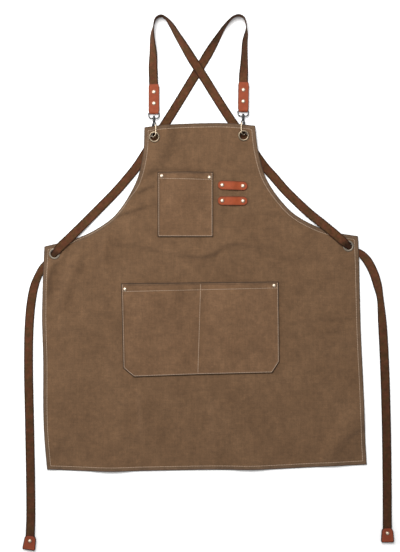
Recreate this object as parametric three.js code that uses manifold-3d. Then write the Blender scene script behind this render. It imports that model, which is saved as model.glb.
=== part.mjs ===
// Cross-back canvas work apron, lying flat on a table with its front up.
// Millimetres and degrees. X runs across the apron, Y from its hem to its bib, Z up from the table.

import * as THREE from "three";
import { mergeVertices } from "three/addons/utils/BufferGeometryUtils.js";
import Module from "manifold-3d";

const wasm = await Module();
wasm.setup();

// Materials' thicknesses and the gap between neighbouring pieces
const GAP = 0.3;
const CANVAS = 1.2;
const WEBBING = 2;
const LEATHER = 2;
const TIP_LEATHER = 1.5;

// Cuts run this far past the part, and small round pieces have this many sides
const BEYOND = 50;
const ROUND_SIDES = 10;

// Panel: each edge is a smooth curve through its points, in order round the cloth
const HEM_WIDTH = 8;
const CLOTH_STEP = 40;
const CLOTH_MARGIN = 4;
const OUTLINE = {
  top: { steps: 8, points: [[-140, 340.6], [-78, 347.4], [-14, 350.4], [36, 350], [103, 344]] },
  right_armhole: {
    steps: 14,
    points: [
      [103, 344], [108, 300], [114, 269], [127, 230], [150, 193], [189, 151], [244, 121], [289, 108],
      [329, 102],
    ],
  },
  right_side: {
    steps: 8,
    points: [[329, 102], [332, 40], [336, -110], [342, -237], [345, -330], [349, -400.6]],
  },
  bottom: {
    steps: 12,
    points: [
      [349, -400.6], [215, -407], [110, -412], [4, -412], [-139, -414.4], [-216, -416], [-354, -411.4],
    ],
  },
  left_side: { steps: 8, points: [[-354, -411.4], [-362, -310], [-363, -170], [-365.4, -67], [-360, 79]] },
  left_armhole: {
    steps: 14,
    points: [
      [-360, 79], [-284, 99], [-235, 124], [-201.6, 151], [-167.4, 203], [-152, 239], [-142, 288],
      [-140, 340.6],
    ],
  },
};

// Where the cloth stands off the table: middle of the fold, its direction, half length, half width, height
const FOLDS = [
  { x: -125, y: 309, turn: 56, length: 140, width: 50, height: 9.1 },
  { x: 85, y: 312, turn: 126, length: 150, width: 52, height: 9.1 },
  { x: -354, y: 40, turn: 55, length: 90, width: 60, height: 3.6 },
  { x: 322, y: 68, turn: -35, length: 90, width: 60, height: 3.4 },
  { x: -275, y: 5, turn: -40, length: 85, width: 30, height: 2.4 },
  { x: 252, y: 26, turn: 38, length: 85, width: 30, height: 2.4 },
  { x: 306, y: -338, turn: 60, length: 120, width: 46, height: 5 },
  { x: -212, y: -395, turn: 80, length: 110, width: 60, height: 4.5 },
  { x: 92, y: -398, turn: 95, length: 90, width: 55, height: 3.6 },
  { x: -348, y: -366, turn: 70, length: 90, width: 42, height: 4 },
];

// Grommets: the cloth is flat under each one
const GROMMETS = {
  bib_left: { x: -118, y: 319 },
  bib_right: { x: 78, y: 322 },
  side_left: { x: -337.5, y: 63 },
  side_right: { x: 308, y: 80 },
};
const GROMMET_HOLE = 8;
const GROMMET_BARREL = 9;
const GROMMET_FLANGE = 12.3;
const GROMMET_CUT = 9.6;
const GROMMET_LIP = 1.15;
const GROMMET_CROWN = 1.7;
const GROMMET_CROWN_INSET = 1.4;
const GROMMET_BACK = 1.5;
const GROMMET_BACK_INSET = 0.4;
const GROMMET_SIDES = 12;
const FLAT_CELL = 15;
const FLAT_INNER = 22;
const FLAT_OUTER = 48;

// Patch pockets: outline, standing-off height of the mouth, and the compartments between seams
const POCKET_RISE = 8;
const SEAM_MARGIN = 0.12;
const CLIMB_START = 0.05;
const CLIMB_END = 0.85;
const CHEST_POCKET = {
  outline: [[-111, 243], [11, 243], [11, 100], [-111, 100]],
  compartments: [{ left: -111, right: 11 }],
  rivets: [[-102, 234], [3, 231]],
  columns: 12,
  rows: 7,
};
const LOWER_POCKET = {
  outline: [[-191, -2], [155, 2], [157, -174], [141, -199], [-23, -203], [-163, -208], [-187, -188]],
  compartments: [{ left: -191, right: -19 }, { left: -19, right: 157 }],
  rivets: [[-183, -15], [145, -7]],
  columns: 20,
  rows: 6,
};

// Leather tool loops: an arch between two rivets
const LOOP_LENGTH = 66;
const LOOP_WIDTH = 20;
const LOOP_RIVETS = 45.6;
const LOOP_RISE = 5.6;
const LOOP_ARCH = 17;
const LOOP_ARCH_STOPS = [4, 9, 13, 15.5];
const LOOP_END_STEPS = 8;
const TOOL_LOOPS = {
  upper: { x: 53.7, y: 213, turn: -2.4 },
  lower: { x: 53.7, y: 179.3, turn: -0.6 },
};

// Rivets
const RIVET_POST = 1.5;
const RIVET_HOLE = 1.9;
const RIVET_CAP = 4.2;
const RIVET_DOME = 1.7;
const RIVET_BACK = 3.6;
const RIVET_BACK_LOW = 0.1;
const RIVET_BACK_HIGH = 0.9;
const RIVET_SHOULDER = 0.75;
const RIVET_SIDES = 8;

// Leather tabs round the hooks' rings: y is counted from the ring's bar inside the fold
const TAB_WIDTH = 23.6;
const TAB_TOP_WIDTH = 18.5;
const TAB_LENGTH = 62.6;
const TAB_SHOULDER = 9;
const TAB_SHOULDER_ROUND = 0.8;
const TAB_TONGUE = 21.2;
const TAB_TONGUE_END = 2.4;
const TAB_RIVETS = [19.4, 44.6];
const FOLD_HEIGHT = 4.5;
const FOLD_SETTLE = 6;
const FOLD_STEPS = 6;
const RING_CLEARANCE = 0.4;

// Snap hooks: u is counted along the hook from the ring's bar, v from the gate's side to the arm's side
const RING_WIRE = 1.4;
const RING_PATH = [
  [12.4, 0], [11.6, 8], [9.6, 12.2], [5, 13.3], [-5, 13.3], [-9.6, 12.2], [-11.6, 8], [-12.4, 0],
];
const BOSS_RADIUS = 3.2;
const BOSS_HOLE = 2.1;
const BOSS_LOW = 11.2;
const BOSS_HIGH = 15.6;
const SWIVEL_PROFILE = [
  [0, 7.6], [1.9, 8.1], [2.7, 9.4], [2.7, 10.9], [1.7, 10.9], [1.7, 15.9], [3, 15.9], [3, 19.4], [0, 21.4],
];
const HOOK_WIRE = 1.6;
const NOSE_WIRE = 1.35;
const NOSE_START = 0.6;
const NOSE_STEP = 20;
const HOOK_SIDES = 6;
const RING_SIDES = 8;
const LOOP_RADIUS = 6.9;
const LOOP_CENTRE = 47.6;
const ARM_PATH = [[0.4, 18], [3, 22], [6, 28], [6.9, 34], [6.9, 42]];
const LEG_PATH = [[-0.4, 18], [-2, 22], [-3.6, 29.5]];
const LEG_WIRE = 1.5;
const HINGE = { u: 29.5, v: -3.6 };
const HINGE_EYE = 1.9;
const HINGE_PIN = 0.6;
const HINGE_HOLE = 1;
const KNUCKLE_CLEARANCE = 0.4;
const PIN_INSET = 0.2;
const KNUCKLE_HALF = 0.9;
const FORK_HALF = 1.9;
const GATE_TIP = { u: 47, v: -6.9 };
const GATE_HALF = 1.1;
const HOOK_TWIST = 50;
const HOOK_HEIGHT = 9.2;
const HOOKS = {
  left: { x: -119, y: 373.5, inward: 1, tab_turn: 0 },
  right: { x: 77, y: 378.2, inward: -1, tab_turn: -0.8 },
};

// Straps: place, height of the underside, turn, width. The turn is 0 lying flat, 90 standing on edge and
// 180 lying on the other face. The front runs from the tab to the top bend, the back on to behind the bib,
// the side through the side grommet, the tie to the tip
const WEB = 20;
const WEB_BUNCHED = 11;
const OVER = 180;
const STRAP_STEPS = 2;
const STRAP_COLUMNS = ["x", "y", "base", "turn", "width"];
const STRAP_FROM_LEFT = {
  front: [
    [-119.2, 382.5, 3.5, 0, WEB],
    [-120, 440, 3.3, 0, WEB],
    [-121.2, 475, 0.5, 14, WEB],
    [-120.6, 501.5, 0, 33, WEB],
    [-122, 527.4, 0, 54, WEB],
    [-122.4, 545, 0, 67, WEB],
    [-120.8, 558, 0, 80, WEB],
    [-118.6, 569, 0, 90, WEB],
    [-114.4, 579.4, 0, 91, WEB],
    [-103.4, 584.8, 0, 93, WEB],
  ],
  back: [
    [-91.6, 578.2, 0, 99, WEB],
    [-82.2, 566.8, 0, 114, WEB],
    [-66.2, 540.7, 0, 131, WEB],
    [-50, 514.7, 0.4, 149, WEB],
    [-34.2, 489.2, 1.8, 172, WEB],
    [-20, 467.4, 2.4, OVER, WEB],
    [-3, 441, 1.6, OVER, WEB],
    [13, 415, 0.3, OVER, WEB],
    [47, 362, 0, OVER, WEB],
    [97.6, 291.4, 0, OVER, WEB],
  ],
  side: [
    [123, 256, 0, OVER, WEB],
    [146, 230, 0, OVER, WEB],
    [169, 203.4, 0, OVER, WEB],
    [195.5, 177, 0.4, OVER, WEB],
    [224, 150.6, 2.2, OVER, WEB],
    [252, 128, 4.2, OVER, WEB],
    [276, 108, 5.2, OVER, 18],
    [292, 94, 6.9, OVER, 14],
    [301.4, 85.6, 7.6, OVER, WEB_BUNCHED],
    [308, 80, 3.7, OVER, WEB_BUNCHED],
    [315, 75.2, 0.3, OVER, WEB_BUNCHED],
    [324, 70.4, 0.1, OVER, WEB_BUNCHED],
  ],
  tie: [
    [337, 62, 0, OVER, 12],
    [351, 45, 0, OVER, 15],
    [365, 18.6, 0, OVER, 17],
    [373, -7.8, 0, OVER, 18],
    [379, -34, 0, OVER, 18],
    [383, -87, 0, OVER, 19],
    [387.4, -166, 0, OVER, WEB],
    [391.6, -298, 0, OVER, WEB],
    [393.6, -440, 0, OVER, WEB],
    [393.8, -505, 0.4, OVER, WEB],
    [393.5, -532, 2.9, OVER, WEB],
    [393.5, -555, 3, OVER, WEB],
  ],
};
const STRAP_FROM_RIGHT = {
  front: [
    [77.2, 387.2, 3.5, 0, WEB],
    [77.4, 446, 3.3, 0, WEB],
    [78.8, 475, 0.6, 28, WEB],
    [79.7, 501.5, 0, 45, WEB],
    [80.7, 527.5, 0, 54, WEB],
    [83.6, 545.5, 0, 69, WEB],
    [84.3, 558, 0, 85, WEB],
    [82.6, 570.5, 0, 90, WEB],
    [77.6, 581.2, 0, 91, WEB],
    [67.4, 585.8, 0, 91, WEB],
  ],
  back: [
    [54.8, 582, 0, 92, WEB],
    [43, 570.3, 0, 98, WEB],
    [33.6, 557.8, 0, 108, WEB],
    [23.1, 540.5, 0, 122, WEB],
    [7.4, 514.8, 0, 150, WEB],
    [-8.2, 489.2, 0, OVER, WEB],
    [-21.6, 467.4, 0, OVER, WEB],
    [-37.6, 441, 0, OVER, WEB],
    [-86, 362, 0, OVER, WEB],
    [-133, 291.4, 0, OVER, WEB],
  ],
  side: [
    [-156, 256, 0, OVER, WEB],
    [-176.6, 230, 0, OVER, WEB],
    [-199.6, 203.4, 0, OVER, WEB],
    [-225, 177, 0.4, OVER, WEB],
    [-251.2, 150.6, 1.4, OVER, WEB],
    [-279.6, 122, 3.6, OVER, WEB],
    [-305, 97, 4.9, OVER, 18],
    [-323, 79.6, 6.9, OVER, 14],
    [-331.8, 69.4, 7.4, OVER, WEB_BUNCHED],
    [-337.5, 63, 3.6, OVER, WEB_BUNCHED],
    [-343, 56.4, 0.3, OVER, WEB_BUNCHED],
    [-350.4, 48, 0.1, OVER, 12],
  ],
  tie: [
    [-362, 32.6, 0, OVER, 14],
    [-374, 11, 0, OVER, 17],
    [-382.4, -9, 0, OVER, 19],
    [-389.6, -48, 0, OVER, WEB],
    [-394, -105, 0, OVER, WEB],
    [-395, -192, 0, OVER, WEB],
    [-393, -298, 0, OVER, WEB],
    [-390.4, -440, 0, OVER, WEB],
    [-390, -518, 0.4, OVER, WEB],
    [-390.6, -546, 2.9, OVER, WEB],
    [-391.6, -570, 3, OVER, WEB],
  ],
};
// The edge that rises where a strap turns over, looking along its run: 1 is the left one, -1 the right one
const RAISED_EDGE = { strap_left: -1, strap_right: 1 };

// Leather caps on the free ends: y is counted up from the folded bottom edge
const TIP_WIDTH = 28.6;
const TIP_TOP_WIDTH = 23;
const TIP_LENGTH = 30.5;
const TIP_ROUND = 9;
const TIP_ROUND_STEPS = 6;
const TIP_RIVET = 18;
const TIP_FOLD_HEIGHT = 4;
const TIPS = {
  left: { x: -393.9, y: -585.2, turn: -8 },
  right: { x: 394.1, y: -568.6, turn: 1 },
};

// Surface finishes
const FINISH = {
  canvas: { color: 0x74593f, roughness: 0.95, metalness: 0 },
  webbing: { color: 0x5a3c28, roughness: 0.85, metalness: 0 },
  leather: { color: 0xa9573f, roughness: 0.6, metalness: 0 },
  nickel: { color: 0xb9bbbd, roughness: 0.25, metalness: 1 },
  brass: { color: 0x8d7a5c, roughness: 0.35, metalness: 1 },
  rivet: { color: 0xe8dccb, roughness: 0.25, metalness: 1 },
};

const apron = new THREE.Group();
const { clamp, degToRad, smoothstep } = THREE.MathUtils;

// Closed geometries and booleans

function facingOut(geometry) {
  // The sum of the signed volumes under the faces is negative where they point inwards.
  const place = geometry.attributes.position;
  const corner = [new THREE.Vector3(), new THREE.Vector3(), new THREE.Vector3()];
  const index = geometry.index.array;
  let volume = 0;
  for (let i = 0; i < index.length; i += 3) {
    corner.forEach((point, k) => point.fromBufferAttribute(place, index[i + k]));
    volume += corner[0].dot(corner[1].clone().cross(corner[2]));
  }
  if (volume < 0) index.reverse();
  return geometry;
}

function welded(geometry) {
  // Shared vertices are merged and the flat triangles at a lathe's poles are dropped.
  const bare = geometry.clone();
  bare.deleteAttribute("normal");
  bare.deleteAttribute("uv");
  const merged = mergeVertices(bare);
  const index = merged.index.array;
  const kept = [];
  for (let i = 0; i < index.length; i += 3) {
    const [a, b, c] = [index[i], index[i + 1], index[i + 2]];
    if (a !== b && b !== c && c !== a) kept.push(a, b, c);
  }
  merged.setIndex(new THREE.BufferAttribute(Uint32Array.from(kept), 1));
  return facingOut(merged);
}

function solid(geometry) {
  const closed = welded(geometry);
  const mesh = new wasm.Mesh({
    numProp: 3,
    vertProperties: closed.attributes.position.array,
    triVerts: closed.index.array,
  });
  return new wasm.Manifold(mesh);
}

function geometryOf(body) {
  const mesh = body.getMesh();
  const geometry = new THREE.BufferGeometry();
  geometry.setAttribute("position", new THREE.BufferAttribute(mesh.vertProperties, 3));
  geometry.setIndex(new THREE.BufferAttribute(mesh.triVerts, 1));
  geometry.computeVertexNormals();
  return geometry;
}

function loft(rings, closed = false) {
  // Skin over rings of equally many points; open ends are closed by a ladder of quads.
  const count = rings[0].length;
  const place = rings.flat().flatMap((point) => [point.x, point.y, point.z]);
  const index = [];
  const quad = (a, b, c, d) => index.push(a, b, c, a, c, d);
  const last = closed ? rings.length : rings.length - 1;
  for (let i = 0; i < last; i += 1) {
    const next = ((i + 1) % rings.length) * count;
    for (let j = 0; j < count; j += 1) {
      const k = (j + 1) % count;
      quad(i * count + j, i * count + k, next + k, next + j);
    }
  }
  for (let j = 0; !closed && j < count / 2 - 1; j += 1) {
    const end = (rings.length - 1) * count;
    quad(count - 1 - j, count - 2 - j, j + 1, j);
    quad(end + j, end + j + 1, end + count - 2 - j, end + count - 1 - j);
  }
  const geometry = new THREE.BufferGeometry();
  geometry.setAttribute("position", new THREE.Float32BufferAttribute(place, 3));
  geometry.setIndex(new THREE.BufferAttribute(Uint32Array.from(index), 1));
  return facingOut(geometry);
}

function prism(outline, low, high) {
  const shape = new THREE.Shape(outline.map(([x, y]) => new THREE.Vector2(x, y)));
  const geometry = new THREE.ExtrudeGeometry(shape, { depth: high - low, bevelEnabled: false });
  return solid(geometry.translate(0, 0, low));
}

function turned(profile, sides) {
  // Profile of radius and height, turned about Z.
  const points = profile.map(([radius, height]) => new THREE.Vector2(radius, height));
  return welded(new THREE.LatheGeometry(points, sides).rotateX(Math.PI / 2));
}

function disc(radius, low, high, sides) {
  return turned([[0, low], [radius, low], [radius, high], [0, high]], sides);
}

function drilled(body, places, radius, sides = ROUND_SIDES) {
  const hole = solid(disc(radius, -BEYOND, BEYOND, sides));
  return places.reduce((left, [x, y]) => left.subtract(hole.translate([x, y, 0])), body);
}

function halfCircle(start, steps) {
  // Directions round half a circle, from the start angle.
  return Array.from({ length: steps + 1 }, (_, i) => {
    const angle = degToRad(start + (180 * i) / steps);
    return [Math.cos(angle), Math.sin(angle)];
  });
}

function sheet(xs, ys, low, high) {
  // Closed cloth on the grid lines xs and ys, between the heights low(x, y) and high(x, y).
  const rings = xs.map((x) => [
    ...ys.map((y) => new THREE.Vector3(x, y, low(x, y))),
    ...[...ys].reverse().map((y) => new THREE.Vector3(x, y, high(x, y))),
  ]);
  return solid(loft(rings));
}

function gridLines(breaks, step) {
  // The breaks in order, with even lines between them no further apart than the step.
  const sorted = [...breaks].sort((a, b) => a - b);
  const lines = [sorted[0]];
  for (const end of sorted.slice(1)) {
    const start = lines.at(-1);
    const parts = Math.ceil((end - start) / step);
    for (let i = 1; i <= parts; i += 1) lines.push(start + ((end - start) * i) / parts);
  }
  return lines;
}

function smoothLine(points, steps) {
  const curve = new THREE.SplineCurve(points.map(([x, y]) => new THREE.Vector2(x, y)));
  return curve.getSpacedPoints(steps).map((point) => [point.x, point.y]);
}

function wire(path, radius, sides, closed = false) {
  // Round bar along a flat path in the XY plane; radius is a number or a function of the share of the length.
  const points = path.map(([x, y]) => new THREE.Vector3(x, y, 0));
  const count = points.length;
  const rings = points.map((point, i) => {
    const before = points[closed ? (i + count - 1) % count : Math.max(i - 1, 0)];
    const after = points[closed ? (i + 1) % count : Math.min(i + 1, count - 1)];
    const along = after.clone().sub(before).normalize();
    const side = new THREE.Vector3(-along.y, along.x, 0);
    const size = typeof radius === "function" ? radius(i / (count - 1)) : radius;
    return Array.from({ length: sides }, (_, k) => {
      const angle = (2 * Math.PI * (k + 0.5)) / sides;
      const out = side.clone().multiplyScalar(size * Math.cos(angle));
      return point.clone().add(out).setZ(size * Math.sin(angle));
    });
  });
  return loft(rings, closed);
}

function add(name, finish, geometry, parent = apron) {
  const material = new THREE.MeshStandardMaterial(FINISH[finish]);
  const mesh = new THREE.Mesh(geometry, material);
  mesh.name = name;
  parent.add(mesh);
}

// Height of the cloth's lower face above the table

function foldHeight(x, y) {
  let height = 0;
  for (const fold of FOLDS) {
    const angle = degToRad(fold.turn);
    const along = (x - fold.x) * Math.cos(angle) + (y - fold.y) * Math.sin(angle);
    const across = (y - fold.y) * Math.cos(angle) - (x - fold.x) * Math.sin(angle);
    const far = (along / fold.length) ** 2 + (across / fold.width) ** 2;
    if (far < 1) height += fold.height * (1 - far) ** 2;
  }
  return height;
}

function lift(x, y) {
  let height = foldHeight(x, y);
  for (const ring of Object.values(GROMMETS)) {
    const near = 1 - smoothstep(Math.hypot(x - ring.x, y - ring.y), FLAT_INNER, FLAT_OUTER);
    height += near * (foldHeight(ring.x, ring.y) - height);
  }
  return height;
}

const clothLow = (x, y) => lift(x, y) + CANVAS;
const clothHigh = (x, y) => lift(x, y) + 2 * CANVAS;

// Panel with its hem folded under

function panelEdges() {
  return Object.values(OUTLINE).map(({ points, steps }) => smoothLine(points, steps));
}

function hemBand(edge) {
  // The strip along one edge that is double: from just outside the cloth to the hem's width inside it.
  const beside = (far) =>
    edge.map(([x, y], i) => {
      const [before, after] = [edge[Math.max(i - 1, 0)], edge[Math.min(i + 1, edge.length - 1)]];
      const [dx, dy] = [after[0] - before[0], after[1] - before[1]];
      const length = Math.hypot(dx, dy);
      return [x + (far * dy) / length, y - (far * dx) / length];
    });
  return [...beside(-HEM_WIDTH), ...beside(HEM_WIDTH).reverse()];
}

function panel() {
  const edges = panelEdges();
  const outline = edges.flatMap((edge) => edge.slice(0, -1));
  const rings = Object.values(GROMMETS);
  const reach = (axis) => {
    const values = outline.map((point) => point[axis]);
    return [Math.min(...values) - CLOTH_MARGIN, Math.max(...values) + CLOTH_MARGIN];
  };
  const cells = (axis) => rings.flatMap((ring) => [ring[axis] - FLAT_CELL, ring[axis] + FLAT_CELL]);
  const [pocketLeft, pocketTop] = CHEST_POCKET.outline[0];
  const xs = gridLines([...reach(0), ...cells("x"), pocketLeft - CLOTH_MARGIN / 2], CLOTH_STEP);
  const ys = gridLines([...reach(1), ...cells("y"), pocketTop + CLOTH_MARGIN / 2], CLOTH_STEP);
  const cut = prism(outline, -BEYOND, BEYOND);
  const bands = edges.map((edge) => prism(hemBand(edge), -2 * BEYOND, 2 * BEYOND));
  const single = bands.reduce((left, band) => left.subtract(band), cut);
  const below = sheet(xs, ys, (x, y) => lift(x, y) - CANVAS, clothLow).intersect(single);
  const cloth = sheet(xs, ys, lift, clothHigh).intersect(cut).subtract(below);
  const eyelets = rings.map(({ x, y }) => [x, y]);
  const loopRivets = Object.values(TOOL_LOOPS).flatMap(loopRivetPlaces);
  const rivets = [...CHEST_POCKET.rivets, ...LOWER_POCKET.rivets, ...loopRivets];
  const pierced = drilled(drilled(cloth, eyelets, GROMMET_CUT, GROMMET_SIDES), rivets, RIVET_HOLE);
  add("apron_panel", "canvas", geometryOf(pierced));
}

// Rivets

function rivet(name, x, y, seat) {
  // The seat is the height of the upper face that the cap clamps.
  const cap = seat + GAP;
  const profile = [
    [0, RIVET_BACK_LOW], [RIVET_BACK, RIVET_BACK_LOW], [RIVET_BACK, RIVET_BACK_HIGH],
    [RIVET_POST, RIVET_BACK_HIGH], [RIVET_POST, cap], [RIVET_CAP, cap],
    [RIVET_CAP * RIVET_SHOULDER, cap + RIVET_DOME * RIVET_SHOULDER], [0, cap + RIVET_DOME],
  ];
  add(`rivet_${name}`, "rivet", turned(profile, RIVET_SIDES).translate(x, y, 0));
}

// Grommets

function grommet(name, { x, y }) {
  const middle = lift(x, y) + 1.5 * CANVAS;
  const grip = CANVAS / 2 + GAP;
  const profile = [
    [GROMMET_HOLE, -GROMMET_LIP], [GROMMET_FLANGE - GROMMET_BACK_INSET, -GROMMET_BACK],
    [GROMMET_FLANGE, -grip], [GROMMET_BARREL, -grip], [GROMMET_BARREL, grip], [GROMMET_FLANGE, grip],
    [GROMMET_FLANGE - GROMMET_CROWN_INSET, GROMMET_CROWN], [GROMMET_HOLE, GROMMET_LIP],
    [GROMMET_HOLE, -GROMMET_LIP],
  ];
  add(`grommet_${name}`, "brass", turned(profile, GROMMET_SIDES).translate(x, y, middle));
}

// Patch pockets

function pocketRise({ outline, compartments }, x, y) {
  // Flat along the seams, rising to the open mouth in the middle of each compartment.
  const levels = outline.map((point) => point[1]);
  const [bottom, top] = [Math.min(...levels), Math.max(...levels)];
  const up = smoothstep((y - bottom) / (top - bottom), CLIMB_START, CLIMB_END);
  const across = compartments.map(({ left, right }) => {
    const share = (x - left) / (right - left);
    const middle = 0.5 - SEAM_MARGIN;
    return smoothstep(share, SEAM_MARGIN, middle) * smoothstep(1 - share, SEAM_MARGIN, middle);
  });
  return POCKET_RISE * up * across.reduce((sum, share) => sum + share);
}

function pocket(name, shape) {
  const span = (axis, parts) => {
    const values = shape.outline.map((point) => point[axis]);
    const seams = axis === 0 ? shape.compartments.slice(1).map(({ left }) => left) : [];
    const [low, high] = [Math.min(...values) - CLOTH_MARGIN, Math.max(...values) + CLOTH_MARGIN];
    return gridLines([low, ...seams, high], (high - low) / parts + CLOTH_MARGIN / 2);
  };
  const low = (x, y) => clothHigh(x, y) + GAP + pocketRise(shape, x, y);
  const high = (x, y) => low(x, y) + CANVAS;
  const cloth = sheet(span(0, shape.columns), span(1, shape.rows), low, high);
  const cut = cloth.intersect(prism(shape.outline, -BEYOND, BEYOND));
  add(name, "canvas", geometryOf(drilled(cut, shape.rivets, RIVET_HOLE)));
  shape.rivets.forEach(([x, y], i) => {
    rivet(`${name}_${i === 0 ? "left" : "right"}`, x, y, high(x, y));
  });
}

// Leather tool loops

function loopRivetPlaces({ x, y, turn }) {
  const angle = degToRad(turn);
  const half = LOOP_RIVETS / 2;
  return [-half, half].map((along) => [x + along * Math.cos(angle), y + along * Math.sin(angle)]);
}

function toolLoop(name, place) {
  const half = LOOP_LENGTH / 2;
  const end = LOOP_WIDTH / 2;
  const seat = clothHigh(place.x, place.y) + GAP;
  const arch = (x) => seat + LOOP_RISE * Math.max(0, 1 - (x / LOOP_ARCH) ** 4);
  const stops = [...LOOP_ARCH_STOPS, LOOP_ARCH, half - end, half];
  const across = [...stops.map((stop) => -stop).reverse(), ...stops];
  const strip = sheet(across, [-end - GAP, end + GAP], arch, (x) => arch(x) + LEATHER);
  const round = (centre, start) =>
    halfCircle(start, LOOP_END_STEPS).map(([x, y]) => [centre + end * x, end * y]);
  const outline = [...round(half - end, -90), ...round(end - half, 90)];
  const holes = [[-LOOP_RIVETS / 2, 0], [LOOP_RIVETS / 2, 0]];
  const cut = strip.intersect(prism(outline, -BEYOND, BEYOND));
  const leather = geometryOf(drilled(cut, holes, RIVET_HOLE));
  add(`tool_loop_${name}`, "leather", leather.rotateZ(degToRad(place.turn)).translate(place.x, place.y, 0));
  loopRivetPlaces(place).forEach(([x, y], i) => {
    rivet(`tool_loop_${name}_${i === 0 ? "left" : "right"}`, x, y, seat + LEATHER);
  });
}

// Leather folded over: a bent strip seen from its side, cut to its outline

function foldedLeather({ thick, room, bend, outline }) {
  // The strip lies round the point y = 0 with its two leaves level: bend is the inner radius of the fold and
  // room the half height between the leaves further up.
  const arc = (radius) => halfCircle(90, FOLD_STEPS).map(([y, z]) => [radius * y, radius * z]);
  const settle = bend + FOLD_SETTLE;
  const end = 2 * BEYOND;
  const profile = [
    ...arc(bend + thick), [settle, -room - thick], [end, -room - thick],
    [end, -room], [settle, -room], ...arc(bend).reverse(), [settle, room], [end, room],
    [end, room + thick], [settle, room + thick],
  ];
  const shape = new THREE.Shape(profile.map(([y, z]) => new THREE.Vector2(y, z)));
  const strip = new THREE.ExtrudeGeometry(shape, { depth: BEYOND, bevelEnabled: false });
  const basis = new THREE.Matrix4().set(0, 0, 1, -BEYOND / 2, 1, 0, 0, 0, 0, 1, 0, 0, 0, 0, 0, 1);
  return solid(strip.applyMatrix4(basis)).intersect(prism(outline, -BEYOND, BEYOND));
}

function turnedPlace(x, y, turn, along) {
  const angle = degToRad(turn);
  return [x - along * Math.sin(angle), y + along * Math.cos(angle)];
}

function leatherTab(side, { x, y, tab_turn: turn }) {
  const [wide, top, tongue] = [TAB_WIDTH / 2, TAB_TOP_WIDTH / 2, TAB_TONGUE / 2];
  const right = [
    [tongue, -BEYOND], [tongue, TAB_TONGUE_END], [wide, TAB_TONGUE_END], [wide, TAB_LENGTH - TAB_SHOULDER],
    [(wide + top) / 2 + TAB_SHOULDER_ROUND, TAB_LENGTH - TAB_SHOULDER / 3], [top, TAB_LENGTH],
  ];
  const outline = [...right, ...right.map(([a, b]) => [-a, b]).reverse()];
  const room = WEBBING / 2 + GAP;
  const leather = foldedLeather({ thick: LEATHER, room, bend: RING_WIRE + RING_CLEARANCE, outline });
  const holes = TAB_RIVETS.map((along) => [0, along]);
  const body = geometryOf(drilled(leather, holes, RIVET_HOLE));
  add(`leather_tab_${side}`, "leather", body.rotateZ(degToRad(turn)).translate(x, y, FOLD_HEIGHT));
  TAB_RIVETS.forEach((along, i) => {
    const seat = FOLD_HEIGHT + room + LEATHER;
    rivet(`leather_tab_${side}_${i === 0 ? "lower" : "upper"}`, ...turnedPlace(x, y, turn, along), seat);
  });
}

function leatherTip(side, { x, y, turn }) {
  const bend = WEBBING / 2 + GAP;
  const [wide, top] = [TIP_WIDTH / 2, TIP_TOP_WIDTH / 2];
  const shoulder = TIP_LENGTH - TIP_ROUND;
  const round = halfCircle(0, TIP_ROUND_STEPS);
  const crown = round.map(([across, up]) => [top * across, shoulder + TIP_ROUND * up]);
  const outline = [[-wide, 0], [-wide, -BEYOND], [wide, -BEYOND], [wide, 0], ...crown];
  const leather = foldedLeather({ thick: TIP_LEATHER, room: bend, bend, outline });
  const body = geometryOf(drilled(leather, [[0, TIP_RIVET]], RIVET_HOLE));
  add(`leather_tip_${side}`, "leather", body.rotateZ(degToRad(turn)).translate(x, y, TIP_FOLD_HEIGHT));
  const seat = TIP_FOLD_HEIGHT + bend + TIP_LEATHER;
  rivet(`leather_tip_${side}`, ...turnedPlace(x, y, turn, TIP_RIVET), seat);
}

// Snap hooks: ring, hook and sprung gate

function armAndNose() {
  const arc = halfCircle(0, 180 / NOSE_STEP);
  return [...ARM_PATH, ...arc.map(([v, u]) => [LOOP_RADIUS * v, LOOP_CENTRE + LOOP_RADIUS * u])];
}

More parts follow.
